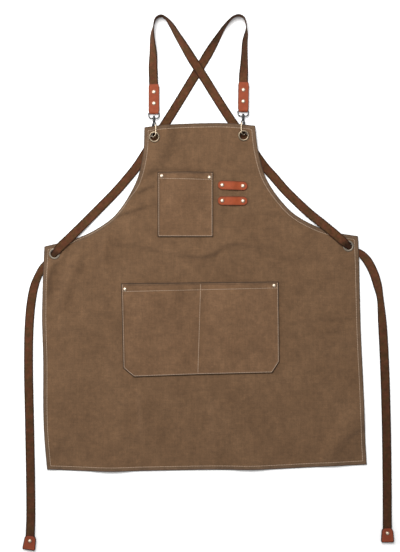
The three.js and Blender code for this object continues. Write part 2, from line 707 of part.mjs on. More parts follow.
function snapHook(side, { x, y, inward }) {
  const tilt = Math.asin((HOOK_HEIGHT - FOLD_HEIGHT) / LOOP_CENTRE);
  const hook = new THREE.Group();
  hook.position.set(x, y, FOLD_HEIGHT);
  hook.rotation.x = -tilt;
  apron.add(hook);

  const alongHook = (geometry) => geometry.rotateX(Math.PI / 2);
  const boss = alongHook(disc(BOSS_RADIUS, BOSS_LOW, BOSS_HIGH, ROUND_SIDES));
  const bore = alongHook(disc(BOSS_HOLE, BOSS_LOW - RING_WIRE, BOSS_HIGH + RING_WIRE, ROUND_SIDES));
  const ringPath = RING_PATH.map(([across, u]) => [across, -u]);
  const ring = solid(wire(ringPath, RING_WIRE, RING_SIDES, true)).add(solid(boss)).subtract(solid(bore));
  add(`hook_ring_${side}`, "nickel", geometryOf(ring), hook);

  // The hook's own plane holds u and v; it is turned about the hook's length, arm up and gate down.
  const twist = inward > 0 ? -degToRad(HOOK_TWIST) : Math.PI + degToRad(HOOK_TWIST);
  const plane = new THREE.Group();
  plane.rotation.y = twist;
  hook.add(plane);
  const inPlane = (path) => path.map(([v, u]) => [v, -u]);
  const upright = (radius, half) =>
    solid(disc(radius, -half, half, ROUND_SIDES).translate(HINGE.v, -HINGE.u, 0));

  const taper = (share) => HOOK_WIRE + (NOSE_WIRE - HOOK_WIRE) * smoothstep(share, NOSE_START, 1);
  const body = solid(alongHook(turned(SWIVEL_PROFILE, ROUND_SIDES)))
    .add(solid(wire(inPlane(armAndNose()), taper, HOOK_SIDES)))
    .add(solid(wire(inPlane(LEG_PATH), LEG_WIRE, HOOK_SIDES)))
    .add(upright(HINGE_EYE, FORK_HALF))
    .subtract(upright(HINGE_EYE + KNUCKLE_CLEARANCE, KNUCKLE_HALF + GAP))
    .add(upright(HINGE_PIN, FORK_HALF - PIN_INSET));
  add(`hook_body_${side}`, "nickel", geometryOf(body), plane);

  const run = new THREE.Vector2(GATE_TIP.v - HINGE.v, GATE_TIP.u - HINGE.u);
  const [v, u] = [run.x / run.length(), run.y / run.length()];
  const corner = ([v0, u0], out) => [v0 + GATE_HALF * u * out, -(u0 - GATE_HALF * v * out)];
  const [start, end] = [[HINGE.v, HINGE.u], [GATE_TIP.v, GATE_TIP.u]];
  const barOutline = [corner(start, 1), corner(end, 1), corner(end, -1), corner(start, -1)];
  const gate = prism(barOutline, -KNUCKLE_HALF, KNUCKLE_HALF)
    .add(upright(HINGE_EYE, KNUCKLE_HALF))
    .subtract(upright(HINGE_HOLE, 2 * KNUCKLE_HALF));
  add(`hook_gate_${side}`, "nickel", geometryOf(gate), plane);
}

// Webbing straps

function strap(name, parts, rivets) {
  const table = Object.values(parts).flat();
  const column = (key) => table.map((row) => row[STRAP_COLUMNS.indexOf(key)]);
  const spline = (a, b, c) => {
    const points = a.map((value, i) => new THREE.Vector3(value, b[i], c[i]));
    return new THREE.CatmullRomCurve3(points, false, "centripetal");
  };
  const route = spline(column("x"), column("y"), column("base"));
  const section = spline(column("turn"), column("width"), column("base"));
  const count = (table.length - 1) * STRAP_STEPS + 1;
  const stations = Array.from({ length: count }, (_, i) => {
    const place = route.getPoint(i / (count - 1));
    const shape = section.getPoint(i / (count - 1));
    const turn = degToRad(clamp(shape.x, 0, OVER));
    const width = Math.min(shape.y, WEB);
    const reach = (width / 2) * Math.sin(turn) + (WEBBING / 2) * Math.abs(Math.cos(turn));
    place.z = Math.max(place.z, 0) + reach;
    return { place, turn: turn * RAISED_EDGE[name], width };
  });
  const rings = stations.map(({ place, turn, width }, i) => {
    const before = stations[Math.max(i - 1, 0)].place;
    const after = stations[Math.min(i + 1, count - 1)].place;
    const along = after.clone().sub(before).normalize();
    const left = new THREE.Vector3(-along.y, along.x, 0).normalize();
    const up = along.clone().cross(left);
    const across = left.clone().multiplyScalar(Math.cos(turn)).addScaledVector(up, Math.sin(turn));
    const face = along.clone().cross(across);
    return [[-1, -1], [1, -1], [1, 1], [-1, 1]].map(([a, b]) =>
      place.clone().addScaledVector(across, (a * width) / 2).addScaledVector(face, (b * WEBBING) / 2),
    );
  });
  let start = 0;
  let rows = 0;
  for (const [part, partRows] of Object.entries(parts)) {
    rows += partRows.length;
    const end = (rows - 1) * STRAP_STEPS;
    const stretch = rings.slice(start, end + 1);
    if (start > 0) stretch[0] = steppedOn(stretch[0], stretch[1]);
    add(`${name}_${part}`, "webbing", geometryOf(drilled(solid(loft(stretch)), rivets, RIVET_HOLE)));
    start = end;
  }
}

function steppedOn(ring, next) {
  // The ring, moved on by the gap towards the next one.
  return ring.map((point, i) => {
    const way = next[i].clone().sub(point);
    return point.clone().addScaledVector(way, GAP / way.length());
  });
}

function strapRivets(tabSide, tipSide) {
  const tab = HOOKS[tabSide];
  const tip = TIPS[tipSide];
  const inTab = TAB_RIVETS.map((along) => turnedPlace(tab.x, tab.y, tab.tab_turn, along));
  return [...inTab, turnedPlace(tip.x, tip.y, tip.turn, TIP_RIVET)];
}

panel();
pocket("chest_pocket", CHEST_POCKET);
pocket("lower_pocket", LOWER_POCKET);
Object.entries(TOOL_LOOPS).forEach(([name, place]) => toolLoop(name, place));
Object.entries(GROMMETS).forEach(([name, place]) => grommet(name, place));
strap("strap_left", STRAP_FROM_LEFT, strapRivets("left", "right"));
strap("strap_right", STRAP_FROM_RIGHT, strapRivets("right", "left"));
Object.entries(HOOKS).forEach(([side, place]) => {
  leatherTab(side, place);
  snapHook(side, place);
});
Object.entries(TIPS).forEach(([side, place]) => leatherTip(side, place));

export default apron;
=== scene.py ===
from collections import namedtuple

import bmesh
import bpy
import numpy as np
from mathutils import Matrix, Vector


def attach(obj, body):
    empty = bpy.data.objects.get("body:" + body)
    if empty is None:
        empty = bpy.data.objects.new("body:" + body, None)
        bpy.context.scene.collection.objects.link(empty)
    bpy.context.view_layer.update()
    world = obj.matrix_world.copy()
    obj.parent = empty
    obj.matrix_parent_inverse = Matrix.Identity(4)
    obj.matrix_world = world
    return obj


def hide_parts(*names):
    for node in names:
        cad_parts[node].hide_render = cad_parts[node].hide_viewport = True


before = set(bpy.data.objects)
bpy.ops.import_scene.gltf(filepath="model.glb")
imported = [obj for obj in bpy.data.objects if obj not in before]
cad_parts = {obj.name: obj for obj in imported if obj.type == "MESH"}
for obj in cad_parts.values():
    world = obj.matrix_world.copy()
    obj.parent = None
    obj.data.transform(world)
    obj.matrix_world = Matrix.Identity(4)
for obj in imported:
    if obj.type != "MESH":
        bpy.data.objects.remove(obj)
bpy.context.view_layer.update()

MM = 0.001
WELD = 0.001
QUAD = 4

# Thicknesses, and the gap between neighbouring pieces
GAP = 0.3
CANVAS = 1.2
WEBBING = 2.0
LEATHER = 2.0
TIP_LEATHER = 1.5

# Panel: each edge is a smooth curve through its points, clockwise round the cloth
OUTLINE = {
    "top": [(-140, 340.6), (-78, 347.4), (-14, 350.4), (36, 350), (103, 344)],
    "right_armhole": [
        (103, 344), (108, 300), (114, 269), (127, 230), (150, 193), (189, 151), (244, 121), (289, 108),
        (329, 102),
    ],
    "right_side": [(329, 102), (332, 40), (336, -110), (342, -237), (345, -330), (349, -400.6)],
    "bottom": [
        (349, -400.6), (215, -407), (110, -412), (4, -412), (-139, -414.4), (-216, -416), (-354, -411.4),
    ],
    "left_side": [(-354, -411.4), (-362, -310), (-363, -170), (-365.4, -67), (-360, 79)],
    "left_armhole": [
        (-360, 79), (-284, 99), (-235, 124), (-201.6, 151), (-167.4, 203), (-152, 239), (-142, 288),
        (-140, 340.6),
    ],
}
PANEL_CELLS = {
    "top": 150, "right_armhole": 100, "right_side": 120,
    "bottom": 150, "left_side": 120, "left_armhole": 100,
}

# Where the cloth stands off the table: middle, direction, half length, half width, height
FOLDS = [
    (-125, 309, 54, 140, 66, 9.1),
    (85, 312, 126, 150, 62, 9.1),
    (-354, 40, 55, 90, 60, 3.6),
    (322, 68, -35, 90, 60, 3.4),
    (-275, 5, -40, 85, 30, 2.4),
    (252, 26, 38, 85, 30, 2.4),
    (306, -338, 60, 120, 46, 5.0),
    (-212, -395, 80, 110, 60, 4.5),
    (92, -398, 95, 90, 55, 3.6),
    (-348, -366, 70, 90, 42, 4.0),
]

# Creases that the cloth kept from being folded. Each is a ridge along a line of places with its height
# there; the widths say how far it falls to the right and to the left, looking along the line
Crease = namedtuple("Crease", "right left line")
CREASES = {
    "across_middle": Crease(12, 36, [
        (-231, 76, 0), (-209, 86, 1.8), (-156, 85, 2.2), (-121, 78, 2.0), (-99, 71, 2.4), (-55, 65, 4.2),
        (-11, 60, 6.0), (15, 69, 6.0), (30, 83, 4.4), (70, 89, 4.2), (103, 82, 3.6), (130, 69, 3.0),
        (187, 47, 0),
    ]),
    "bib_slant": Crease(26, 14, [(-143, 254, 0), (-121, 267, 2.2), (-99, 280, 2.2), (-80, 296, 0)]),
    "over_chest_pocket": Crease(7, 24, [
        (-143, 233, 0), (-128, 244, 2.4), (-112, 251, 3.2), (-84, 253, 2.8), (-51, 251, 2.4), (-7, 247, 0),
    ]),
    "armhole_upper": Crease(9, 18, [
        (-162, 197, 0), (-150, 204, 3.8), (-136, 210, 3.8), (-118, 217, 2.0), (-105, 221, 0),
    ]),
    "armhole_lower": Crease(9, 22, [
        (-207, 144, 0), (-192, 153, 3.2), (-172, 159, 3.8), (-146, 167, 3.0), (-119, 177, 1.0),
        (-101, 184, 0),
    ]),
    "left_hem": Crease(14, 12, [
        (-314, 74, 0), (-326, 56, 4.0), (-343, 37, 5.0), (-351, 12, 5.4), (-354, -17, 4.6), (-352, -56, 0),
    ]),
    "left_fan": Crease(24, 22, [
        (-268, 95, 0), (-285, 62, 4.0), (-302, 11, 5.2), (-317, -38, 3.6), (-334, -84, 0),
    ]),
    "left_fan_inner": Crease(14, 20, [
        (-212, 122, 0), (-222, 102, 2.8), (-229, 76, 3.6), (-226, 40, 2.8), (-219, 5, 1.2), (-218, -15, 0),
    ]),
    "left_dip": Crease(30, 34, [(-335, -78, 0), (-313, -87, 4.5), (-286, -96, 3.0), (-255, -102, 0)]),
    "below_pocket_left": Crease(13, 60, [
        (-149, -216, 0), (-148, -248, 4.6), (-145, -292, 5.4), (-143, -329, 3.4), (-141, -362, 0),
    ]),
    "below_pocket_right": Crease(13, 56, [
        (11, -240, 0), (12, -276, 4.0), (14, -314, 4.8), (15, -347, 3.2), (17, -378, 0),
    ]),
    "lower_corner": Crease(15, 44, [
        (261, -404, 0), (266, -395, 1.6), (272, -380, 2.8), (285, -351, 3.6), (307, -331, 3.6),
        (333, -317, 2.6), (343, -309, 0),
    ]),
    "bib_right": Crease(22, 30, [(39, 291, 0), (70, 278, 1.8), (105, 256, 1.1), (118, 245, 0)]),
    "armhole_right": Crease(10, 26, [(103, 157, 0), (132, 155, 2.4), (162, 147, 1.4), (180, 140, 0)]),
    "right_side": Crease(16, 26, [(202, -70, 0), (250, -75, 2.2), (301, -72, 2.4), (325, -69, 0)]),
    "right_side_lower": Crease(12, 18, [(250, -106, 0), (275, -102, 2.2), (301, -107, 0)]),
}

# Hem: width of the doubled band, its extra height, the rolled edge's radius and the insets of its rings
HEM_WIDTH = 8.0
HEM_STITCH = 8.7
HEM_RELIEF = 0.4
HEM_INNER = 10.9
HEM_ROLL = 1.3
HEM_RINGS = [2.2, 3.6, 5.2, 6.6, 7.4, 7.9, 8.3, 8.7, 9.1, 9.5, 10.0]
HEM_STEP_EASE = 0.6
HEM_FOLD_EASE = 0.5
HEM_INNER_EASE = 1.0
# Along the lower left armhole the seam runs close to the edge: its inset, and where that starts and ends
ROLLED_STITCH = 3.6
ROLLED_FROM = (-312, -280)
ROLLED_TO = (176, 212)
# The edge mark of all cloth inside a hem and the rings over a rolled edge, then a seam's groove and puckers
INSIDE = 20.0
ROLL_RINGS = 9
GROOVE_DEPTH = 0.3
GROOVE_WIDTH = 0.8
PUCKER = 0.16
PUCKER_REACH = 3.2
PUCKER_WAVES = [(7.4, 0.0), (11.3, 1.7), (4.9, 0.6)]

# Grommets: the ring's middle is counted in thicknesses of canvas over the hem's lower face
GROMMETS = {
    "bib_left": (-118, 319),
    "bib_right": (78, 322),
    "side_left": (-337.5, 63),
    "side_right": (308, 80),
}
GROMMET_TONE = {"bib_left": 0.0, "bib_right": 0.0, "side_left": 0.45, "side_right": 0.4}
GROMMET_CUT = 9.6
GROMMET_MIDDLE = 1.5
GROMMET_SIDES = 56
HOLE_CORE = 0.78
CELLS_ROUND_POINT = 4
GROMMET_PROFILE = [
    (7.9, -1.2), (9.0, -1.6), (11.6, -1.6), (12.4, -1.0), (9.4, -0.85), (9.4, 0.85), (12.5, 0.8),
    (12.2, 1.5), (10.6, 1.95), (8.8, 1.75), (7.9, 1.0),
]
# The cloth is flat round a grommet: distances over which the folds come in, and those of the creases
FLAT_INNER = 22
FLAT_OUTER = 48
SEAT_INNER = 13
SEAT_OUTER = 20

# Patch pockets: the mouth's rise and the shares of the height over which it climbs, the seams and hems, then
# corners clockwise from the upper left, compartments, rivets and sewn lines
POCKET_RISE = 5.6
SEAM_MARGIN = 0.12
CLIMB_START = 0.05
CLIMB_END = 0.85
POCKET_STITCH = 2.6
POCKET_INNER = 4.6
POCKET_ROLL = 0.7
POCKET_RINGS = [1.2, 1.8, 2.2, 2.6, 3.0, 3.4, 3.9]
POCKET_INNER_EASE = 0.9
POCKET_HEM_EASE = (-0.4, 0.8)
POCKET_SEAM_STATIONS = 60
POCKET_HEM = 0.45
POCKET_FOLD = 1.0
Pocket = namedtuple("Pocket", "top right bottom left cells compartments rivets hem divider")
POCKETS = {
    "chest_pocket": Pocket(
        top=[(-111, 243), (11, 243)],
        right=[(11, 243), (11, 100)],
        bottom=[(11, 100), (-111, 100)],
        left=[(-111, 100), (-111, 243)],
        cells=([72], [84], [72], [84]),
        compartments=[(-111, 11)],
        rivets=[(-102, 234), (3, 231)],
        hem=[(-111, 229), (11, 226)],
        divider=[],
    ),
    "lower_pocket": Pocket(
        top=[(-191, -2), (155, 2)],
        right=[(155, 2), (157, -174), (141, -199)],
        bottom=[(141, -199), (-23, -203), (-163, -208)],
        left=[(-163, -208), (-187, -188), (-191, -2)],
        cells=([200], [96, 16], [108, 92], [16, 96]),
        compartments=[(-191, -19), (-19, 157)],
        rivets=[(-183, -15), (145, -7)],
        hem=[(-191, -20), (155, -12)],
        divider=[(-16.4, -3), (-22.6, -202)],
    ),
}

# Leather tool loops: sizes, the distance between the rivets, the arch, then place and turn
LOOP_LENGTH = 66
LOOP_WIDTH = 20
LOOP_RIVETS = 45.6
LOOP_RISE = 2.2
LOOP_LEVEL = 0.0
LOOP_ARCH = 19.0
LOOP_END_STATIONS = 18
LOOP_STATIONS = 60
LOOP_BLUNT = 0.02
TOOL_LOOPS = {"upper": (53.7, 213, -2.4), "lower": (53.7, 179.3, -0.6)}

# Rivets: radius and height of the cap over its seat, then of the back disc over the table. The brim outside
# the ring is painted dark: a painted dark reflection
RIVET_CAP = [
    (0.25, 1.7), (1.3, 1.62), (2.2, 1.36), (2.85, 0.98), (3.25, 0.62), (3.7, 0.56), (4.15, 0.42),
    (4.2, 0.15), (3.9, 0.0), (1.5, 0.0),
]
RIVET_BACK = [(1.5, 0.9), (3.4, 0.9), (3.6, 0.7), (3.6, 0.3), (3.4, 0.1), (0.25, 0.1)]
RIVET_RING = (2.7, 3.2)
RIVET_GAP = 0.05
RIVET_SIDES = 28

# Folded leather: the rounding of its edge as a share of its thickness, and how far from the fold it lies flat
LEATHER_ROUND = 0.36
LEATHER_STATIONS = 180
FOLD_RINGS = 25
LEAF_END = 2
FOLD_SETTLE = 6.0

# Leather tabs round the hooks' rings: y is counted from the ring's bar inside the fold
TAB_WIDTH = 23.6
TAB_TOP_WIDTH = 18.5
TAB_LENGTH = 62.6
TAB_SHOULDER = 9
TAB_TONGUE = 21.2
TAB_TONGUE_END = 2.4
TAB_TONGUE_EASE = (-0.4, 0.6)
TAB_SHOULDER_POWER = 2.6
TAB_RIVETS = [19.4, 44.6]
FOLD_HEIGHT = 4.5
RING_CLEARANCE = 0.4

# Snap hooks: u is counted along the hook from the ring's bar, v from the gate's side to the arm's side
RING_WIRE = 1.4
RING_PATH = [
    (12.4, 0), (11.6, 8), (9.6, 12.2), (5, 13.3), (-5, 13.3), (-9.6, 12.2), (-11.6, 8), (-12.4, 0),
]
BOSS_PROFILE = [(2.1, 11.2), (2.9, 11.2), (3.2, 11.6), (3.2, 15.2), (2.9, 15.6), (2.1, 15.6)]
SWIVEL_PROFILE = [
    (0.2, 7.6), (1.2, 7.7), (2.1, 8.2), (2.6, 9.1), (2.7, 10.2), (2.5, 10.9), (1.7, 11.1), (1.7, 15.8),
    (2.6, 15.9), (3.0, 16.4), (3.0, 18.8), (2.7, 19.9), (1.6, 21.0), (0.2, 21.4),
]
SWIVEL_SIDES = 24
HOOK_WIRE = 1.6
NOSE_WIRE = 1.35
WIRE_SIDES = 16
ARM_STATIONS = 72
NOSE_STATIONS = 10
# Shares of the arm's length between which its painted dark reflection fades out, it thins to the nose,
# and it ends in a blunt tip
ARM_FADE = (0.12, 0.34)
ARM_THINS = (0.6, 1)
ARM_ENDS = (0.985, 1.0)
ARM_END_CUT = 0.85
BEND_RADIUS = 6.9
BEND_CENTRE = 47.6
ARM_PATH = [(0.4, 18), (3, 22), (6, 28), (6.9, 34), (6.9, 42)]
LEG_PATH = [(-0.4, 18), (-2, 22), (-2.9, 26.6)]
LEG_WIRE = 1.5
HINGE_V = -3.6
HINGE_U = 29.5
HINGE_EYE = 1.9
HINGE_PIN = 0.6
PIN_PROUD = 0.2
PIN_EASE = 0.18
PIN_CORE = 0.1
PIN_SIDES = 20
BAR_ROUND = 0.25
BAR_STATIONS = 41
BAR_COLUMNS = 6
BAR_BLUNT = 0.01
KNUCKLE_HALF = 0.9
FORK_HALF = 1.9
GATE_TIP_V = -6.9
GATE_TIP_U = 47
GATE_HALF = 1.1
HOOK_TWIST = 50
HOOK_HEIGHT = 9.2
Hook = namedtuple("Hook", "x y inward tab_turn")
HOOKS = {"left": Hook(-119, 373.5, 1, 0), "right": Hook(77, 378.2, -1, -0.8)}

# Straps: place, height of the underside, turn and width, along the run. A row that leaves values out lies
# on the table, turned over and at full width. The turn is 0 lying flat, 90 standing on edge and 180 lying
# on the other face
WEB = 20
BUNCHED = 14
OVER = 180
STRAP_REST = (0, OVER, WEB)
STRAPS = {
    "left": [
        (-119.2, 382.5, 3.5, 0), (-120, 440, 3.3, 0), (-121.2, 475, 0.5, 14),
        (-120.6, 501.5, 0, 33), (-122, 527.4, 0, 54), (-122.4, 545, 0, 67), (-120.8, 558, 0, 80),
        (-118.6, 569, 0, 90), (-114.4, 579.4, 0, 91), (-103.4, 584.8, 0, 93), (-91.6, 578.2, 0, 99),
        (-82.2, 566.8, 0, 114), (-66.2, 540.7, 0, 131), (-50, 514.7, 0.4, 149),
        (-34.2, 489.2, 1.8, 172), (-20, 467.4, 2.4), (-3, 441, 1.6), (13, 415, 0.3), (47, 362),
        (97.6, 291.4), (123, 256), (146, 230), (169, 203.4), (195.5, 177, 0.4), (224, 150.6, 2.2),
        (252, 128, 4.2), (276, 108, 5.2), (292, 94, 6.9), (301.4, 85.6, 7.6, OVER, 17.5),
        (308, 80, 3.7, OVER, BUNCHED), (315, 75.2, 0.3, OVER, BUNCHED), (324, 70.4, 0.1, OVER, 13),
        (337, 62.4, 0, OVER, 17), (351.4, 45.8), (365, 18.8), (373, -7.8, 0, OVER, 19),
        (378.3, -34, 0, OVER, 15), (383, -87, 0, OVER, 19), (387.4, -166), (391.6, -298),
        (393.6, -440), (393.8, -505, 0.4), (393.5, -532, 2.9), (393.5, -555, 3),
    ],
    "right": [
        (77.2, 387.2, 3.5, 0), (77.4, 446, 3.3, 0), (78.8, 475, 0.6, 28), (79.7, 501.5, 0, 45),
        (80.7, 527.5, 0, 54), (83.6, 545.5, 0, 69), (84.3, 558, 0, 85), (82.6, 570.5, 0, 90),
        (77.6, 581.2, 0, 91), (67.4, 585.8, 0, 91), (54.8, 582, 0, 92), (43, 570.3, 0, 98),
        (33.6, 557.8, 0, 108), (23.1, 540.5, 0, 122), (7.4, 514.8, 0, 150), (-8.2, 489.2),
        (-21.6, 467.4), (-37.6, 441), (-86, 362), (-133, 291.4), (-156, 256), (-176.6, 230),
        (-199.6, 203.4), (-225, 177, 0.4), (-251.2, 150.6, 1.4), (-279.6, 122, 3.6),
        (-305, 97, 4.9), (-323, 79.6, 6.9), (-331.8, 69.4, 7.4, OVER, 17.5),
        (-337.5, 63, 3.6, OVER, BUNCHED), (-343, 56.4, 0.3, OVER, BUNCHED),
        (-350.4, 48, 0.1, OVER, 13), (-363.2, 33.4, 0, OVER, 16), (-375, 11.4, 0, OVER, 17),
        (-382.4, -9, 0, OVER, 19), (-389.6, -48), (-394, -105), (-395, -192), (-393, -298),
        (-390.4, -440), (-390, -518, 0.4), (-390.6, -546, 2.9), (-391.6, -570, 3),
    ],
}
# The edge that rises where a strap turns over, looking along its run: 1 is the left one, -1 the right one
RAISED_EDGE = {"left": -1, "right": 1}
STRAP_PARTS = ["front", "back", "side", "tie"]
STRAP_STATIONS = 620
STRAP_COLUMNS = 14
WEB_ROUND = 0.8
CUP = 0.3
# Painted shade: how dark the webbing is painted at its free end, and the lengths along it between which it
# darkens
FREE_END_SHADE = {"left": 0.7, "right": 0.82}
FREE_END_FADE = (900, 1400)
# The side grommet that a strap goes through, and how dark and how far round it the webbing is painted with
# shade
SIDE_HOLE = {"left": "side_right", "right": "side_left"}
HOLE_SHADE = {"left": 0.4, "right": 0.6}
HOLE_FADE = {"left": (5, 22), "right": (3, 12)}

# Leather caps on the free ends: y is counted up from the folded bottom edge
TIP_WIDTH = 28.6
TIP_TOP_WIDTH = 25.6
TIP_LENGTH = 30.5
TIP_ROUND = 9
TIP_BLUNT = 0.9995
TIP_CORNER = 4.4
TIP_CORNER_CUT = 2.6
TIP_RIVET = 18
TIP_FOLD_HEIGHT = 4.0
TIPS = {"left": (-393.9, -585.2, -8), "right": (394.1, -568.6, 1)}

# Thread: a stitch tapers, is a little flat, arches over the cloth and sinks into it at both ends
STITCH_PITCH = 3.7
STITCH_LENGTH = 3.1
STITCH_THICK = 0.65
STITCH_TAPER = 0.8
STITCH_FLAT = 0.8
STITCH_ARCH = 0.45
STITCH_SINK = 0.1
STITCH_WOBBLE = 0.035
STITCH_SEED = 3
STITCH_RINGS = 5
STITCH_SIDES = 6

# Camera and light, in metres
VIEW_CENTRE = (-0.0179, 0.0142)
VIEW_HEIGHT = 1.2144
LENS = 85
SENSOR = 36
KEY_PLACE = (-0.4, 1.25, 1.95)
KEY_SIZE = 1.5
KEY_POWER = 59
SIDE_PLACE = (-2.0, 0.3, 0.75)
SIDE_SIZE = 0.7
SIDE_POWER = 20
SKY_LOW = 0.15
SKY_HIGH = 0.71
FLOOR_SIZE = 60
FLOOR_DROP = 0.0002
FLOOR_COLOUR = (0.97, 0.97, 0.97, 1)


# Curves

def smoothstep(value, low, high):
    """Eases from 0 at low to 1 at high: three times the square of the share less twice its cube."""
    share = np.clip((value - low) / (high - low), 0.0, 1.0)
    return share * share * (3.0 - 2.0 * share)


def smooth_curve(knots, per_span=16):
    """Smooth curve through the knots: over each span a cubic whose end slopes come from the neighbouring
    spans, weighted by the square roots of their plane lengths."""
    knots = np.asarray(knots, float)
    ends = np.vstack([2 * knots[0] - knots[1], knots, 2 * knots[-1] - knots[-2]])
    step = np.sqrt(np.linalg.norm(np.diff(ends[:, :2], axis=0), axis=1))[:, None]
    before, start, end, after = ends[:-3], ends[1:-2], ends[2:-1], ends[3:]
    behind, here, ahead = step[:-2], step[1:-1], step[2:]
    leave = ((start - before) / behind - (end - before) / (behind + here) + (end - start) / here) * here
    arrive = ((end - start) / here - (after - start) / (here + ahead) + (after - end) / ahead) * here
    t = np.linspace(0, 1, per_span, endpoint=False)[None, :, None]
    curve = (2 * t**3 - 3 * t**2 + 1) * start[:, None] + (t**3 - 2 * t**2 + t) * leave[:, None]
    curve = curve + (3 * t**2 - 2 * t**3) * end[:, None] + (t**3 - t**2) * arrive[:, None]
    return np.vstack([curve.reshape(-1, knots.shape[1]), knots[-1:]])


def run_length(points):
    """Length along the points up to each of them."""
    steps = np.linalg.norm(np.diff(points[:, :3], axis=0), axis=1)
    return np.concatenate([[0.0], np.cumsum(steps)])


def evenly(points, count):
    """The same line as count points, equally far apart along it."""
    points = np.asarray(points, float)
    length = run_length(points)
    stops = np.linspace(0, length[-1], count)
    return np.column_stack([np.interp(stops, length, column) for column in points.T])


def rounded_corners(points, times=3):
    """Closed line with its corners cut: each side gives its points at one and three quarters, some times."""
    points = np.asarray(points, float)
    for _ in range(times):
        after = np.roll(points, -1, axis=0)
        points = np.stack([0.75 * points + 0.25 * after, 0.25 * points + 0.75 * after], axis=1)
        points = points.reshape(-1, points.shape[-1])
    return points


def unit(vectors):
    """Each vector divided by its length."""
    return vectors / np.linalg.norm(vectors, axis=-1, keepdims=True)


# Surfaces: points, faces and the marks that a finish reads at each point

Shape = namedtuple("Shape", "points faces marks")


def grid_faces(rows, columns, wrap_rows=False, wrap_columns=False):
    """Quads between neighbouring points of a grid that is numbered row by row."""
    row, column = np.meshgrid(
        np.arange(rows if wrap_rows else rows - 1),
        np.arange(columns if wrap_columns else columns - 1),
        indexing="ij",
    )
    row, column = row.ravel(), column.ravel()
    below, beside = (row + 1) % rows, (column + 1) % columns
    corners = [row * columns + column, below * columns + column]
    corners += [below * columns + beside, row * columns + beside]
    return np.column_stack(corners)


def joined(*shapes):
    """Several shapes as one: the faces of each are counted on from the points before it."""
    starts = np.cumsum([0] + [len(shape.points) for shape in shapes])
    faces = []
    for shape, start in zip(shapes, starts):
        faces += [[corner + start for corner in face] for face in shape.faces]
    marks = {key: np.concatenate([shape.marks[key] for shape in shapes]) for key in shapes[0].marks}
    return Shape(np.vstack([shape.points for shape in shapes]), faces, marks)


def placed(shape, matrix, place):
    """The shape turned by the matrix and then moved to the place."""
    return shape._replace(points=shape.points @ np.asarray(matrix).T + np.asarray(place, float))


def toned(shape, tone):
    """The shape with the same tone at every point: 0 takes the metal's bright colour and 1 its dark one."""
    return shape._replace(marks={"tone": np.full(len(shape.points), float(tone))})


def turn_matrix(axis, angle):
    """Rotation by the angle about the X, Y or Z axis."""
    cos, sin = np.cos(np.radians(angle)), np.sin(np.radians(angle))
    first, second = [(1, 2), (2, 0), (0, 1)]["XYZ".index(axis)]
    matrix = np.eye(3)
    matrix[first, first] = matrix[second, second] = cos
    matrix[first, second] = -sin
    matrix[second, first] = sin
    return matrix


def carried(path, across, section, closed=False, **marks):
    """A section of across and face offsets, carried along a path: each point is the path's point plus its
    two offsets along the across direction and along the face direction, which is square to across and to
    the path."""
    path = np.asarray(path, float)
    if closed:
        along = np.roll(path, -1, axis=0) - np.roll(path, 1, axis=0)
    else:
        along = np.gradient(path, axis=0)
    across = unit(np.broadcast_to(np.asarray(across, float), path.shape))
    face = unit(np.cross(along, across))
    points = path[:, None] + section[..., :1] * across[:, None] + section[..., 1:] * face[:, None]
    rows, columns = points.shape[:2]
    faces = grid_faces(rows, columns, wrap_rows=closed, wrap_columns=True).tolist()
    if not closed:
        faces += [list(range(columns)), list(range((rows - 1) * columns, rows * columns))]
    shaped = {key: np.broadcast_to(mark, points.shape[:2] + mark.shape[2:]) for key, mark in marks.items()}
    flat = {key: mark.reshape((-1,) + mark.shape[2:]) for key, mark in shaped.items()}
    return Shape(points.reshape(-1, 3), faces, flat)


def round_section(radius, sides):
    """Circle of the radius at every station."""
    angle = np.linspace(0, 2 * np.pi, sides, endpoint=False)
    circle = np.column_stack([np.cos(angle), np.sin(angle)])
    return np.atleast_1d(radius)[:, None, None] * circle


def strip_section(half_width, half_thick, rounding, columns=12, corner=4):
    """Flat bar with rounded edges at every station: level top and bottom, joined by quarter circles."""
    half_width = np.atleast_1d(np.asarray(half_width, float))[:, None]
    half_thick = np.atleast_1d(np.asarray(half_thick, float))[:, None]
    level = np.linspace(-1, 1, columns + 1)[1:-1]
    blank = np.zeros_like(level)

    def quarter(side, face, start):
        """Quarter circle at a corner: the angle goes down by 90 degrees from its start."""
        angle = np.radians(start - np.linspace(0, 90, corner + 1))
        whole = np.ones_like(angle)
        return np.column_stack([side * whole, face * whole, np.cos(angle), np.sin(angle)])

    side, face, lean_side, lean_face = np.vstack([
        np.column_stack([level, blank + 1, blank, blank + 1]),
        quarter(1, 1, 90),
        quarter(1, -1, 0),
        np.column_stack([-level, blank - 1, blank, blank - 1]),
        quarter(-1, -1, -90),
        quarter(-1, 1, -180),
    ]).T
    edge = np.minimum(rounding, np.minimum(half_width, half_thick))
    across = side * (half_width - edge) + lean_side * edge
    return np.stack([across, face * (half_thick - edge) + lean_face * edge], axis=-1)


def turned(profile, sides, closed=False):
    """Profile of radius and height carried round the Z axis; flat discs close an open profile's two ends."""
    profile = np.asarray(profile, float)
    angle = np.linspace(0, 2 * np.pi, sides, endpoint=False)
    radius, height = profile[:, :1], profile[:, 1:]
    points = np.stack([radius * np.cos(angle), radius * np.sin(angle), height + 0 * angle], axis=-1)
    faces = grid_faces(len(profile), sides, wrap_rows=closed, wrap_columns=True).tolist()
    if not closed:
        faces += [list(range(sides)), list(range((len(profile) - 1) * sides, len(profile) * sides))]
    return Shape(points.reshape(-1, 3), faces, {})


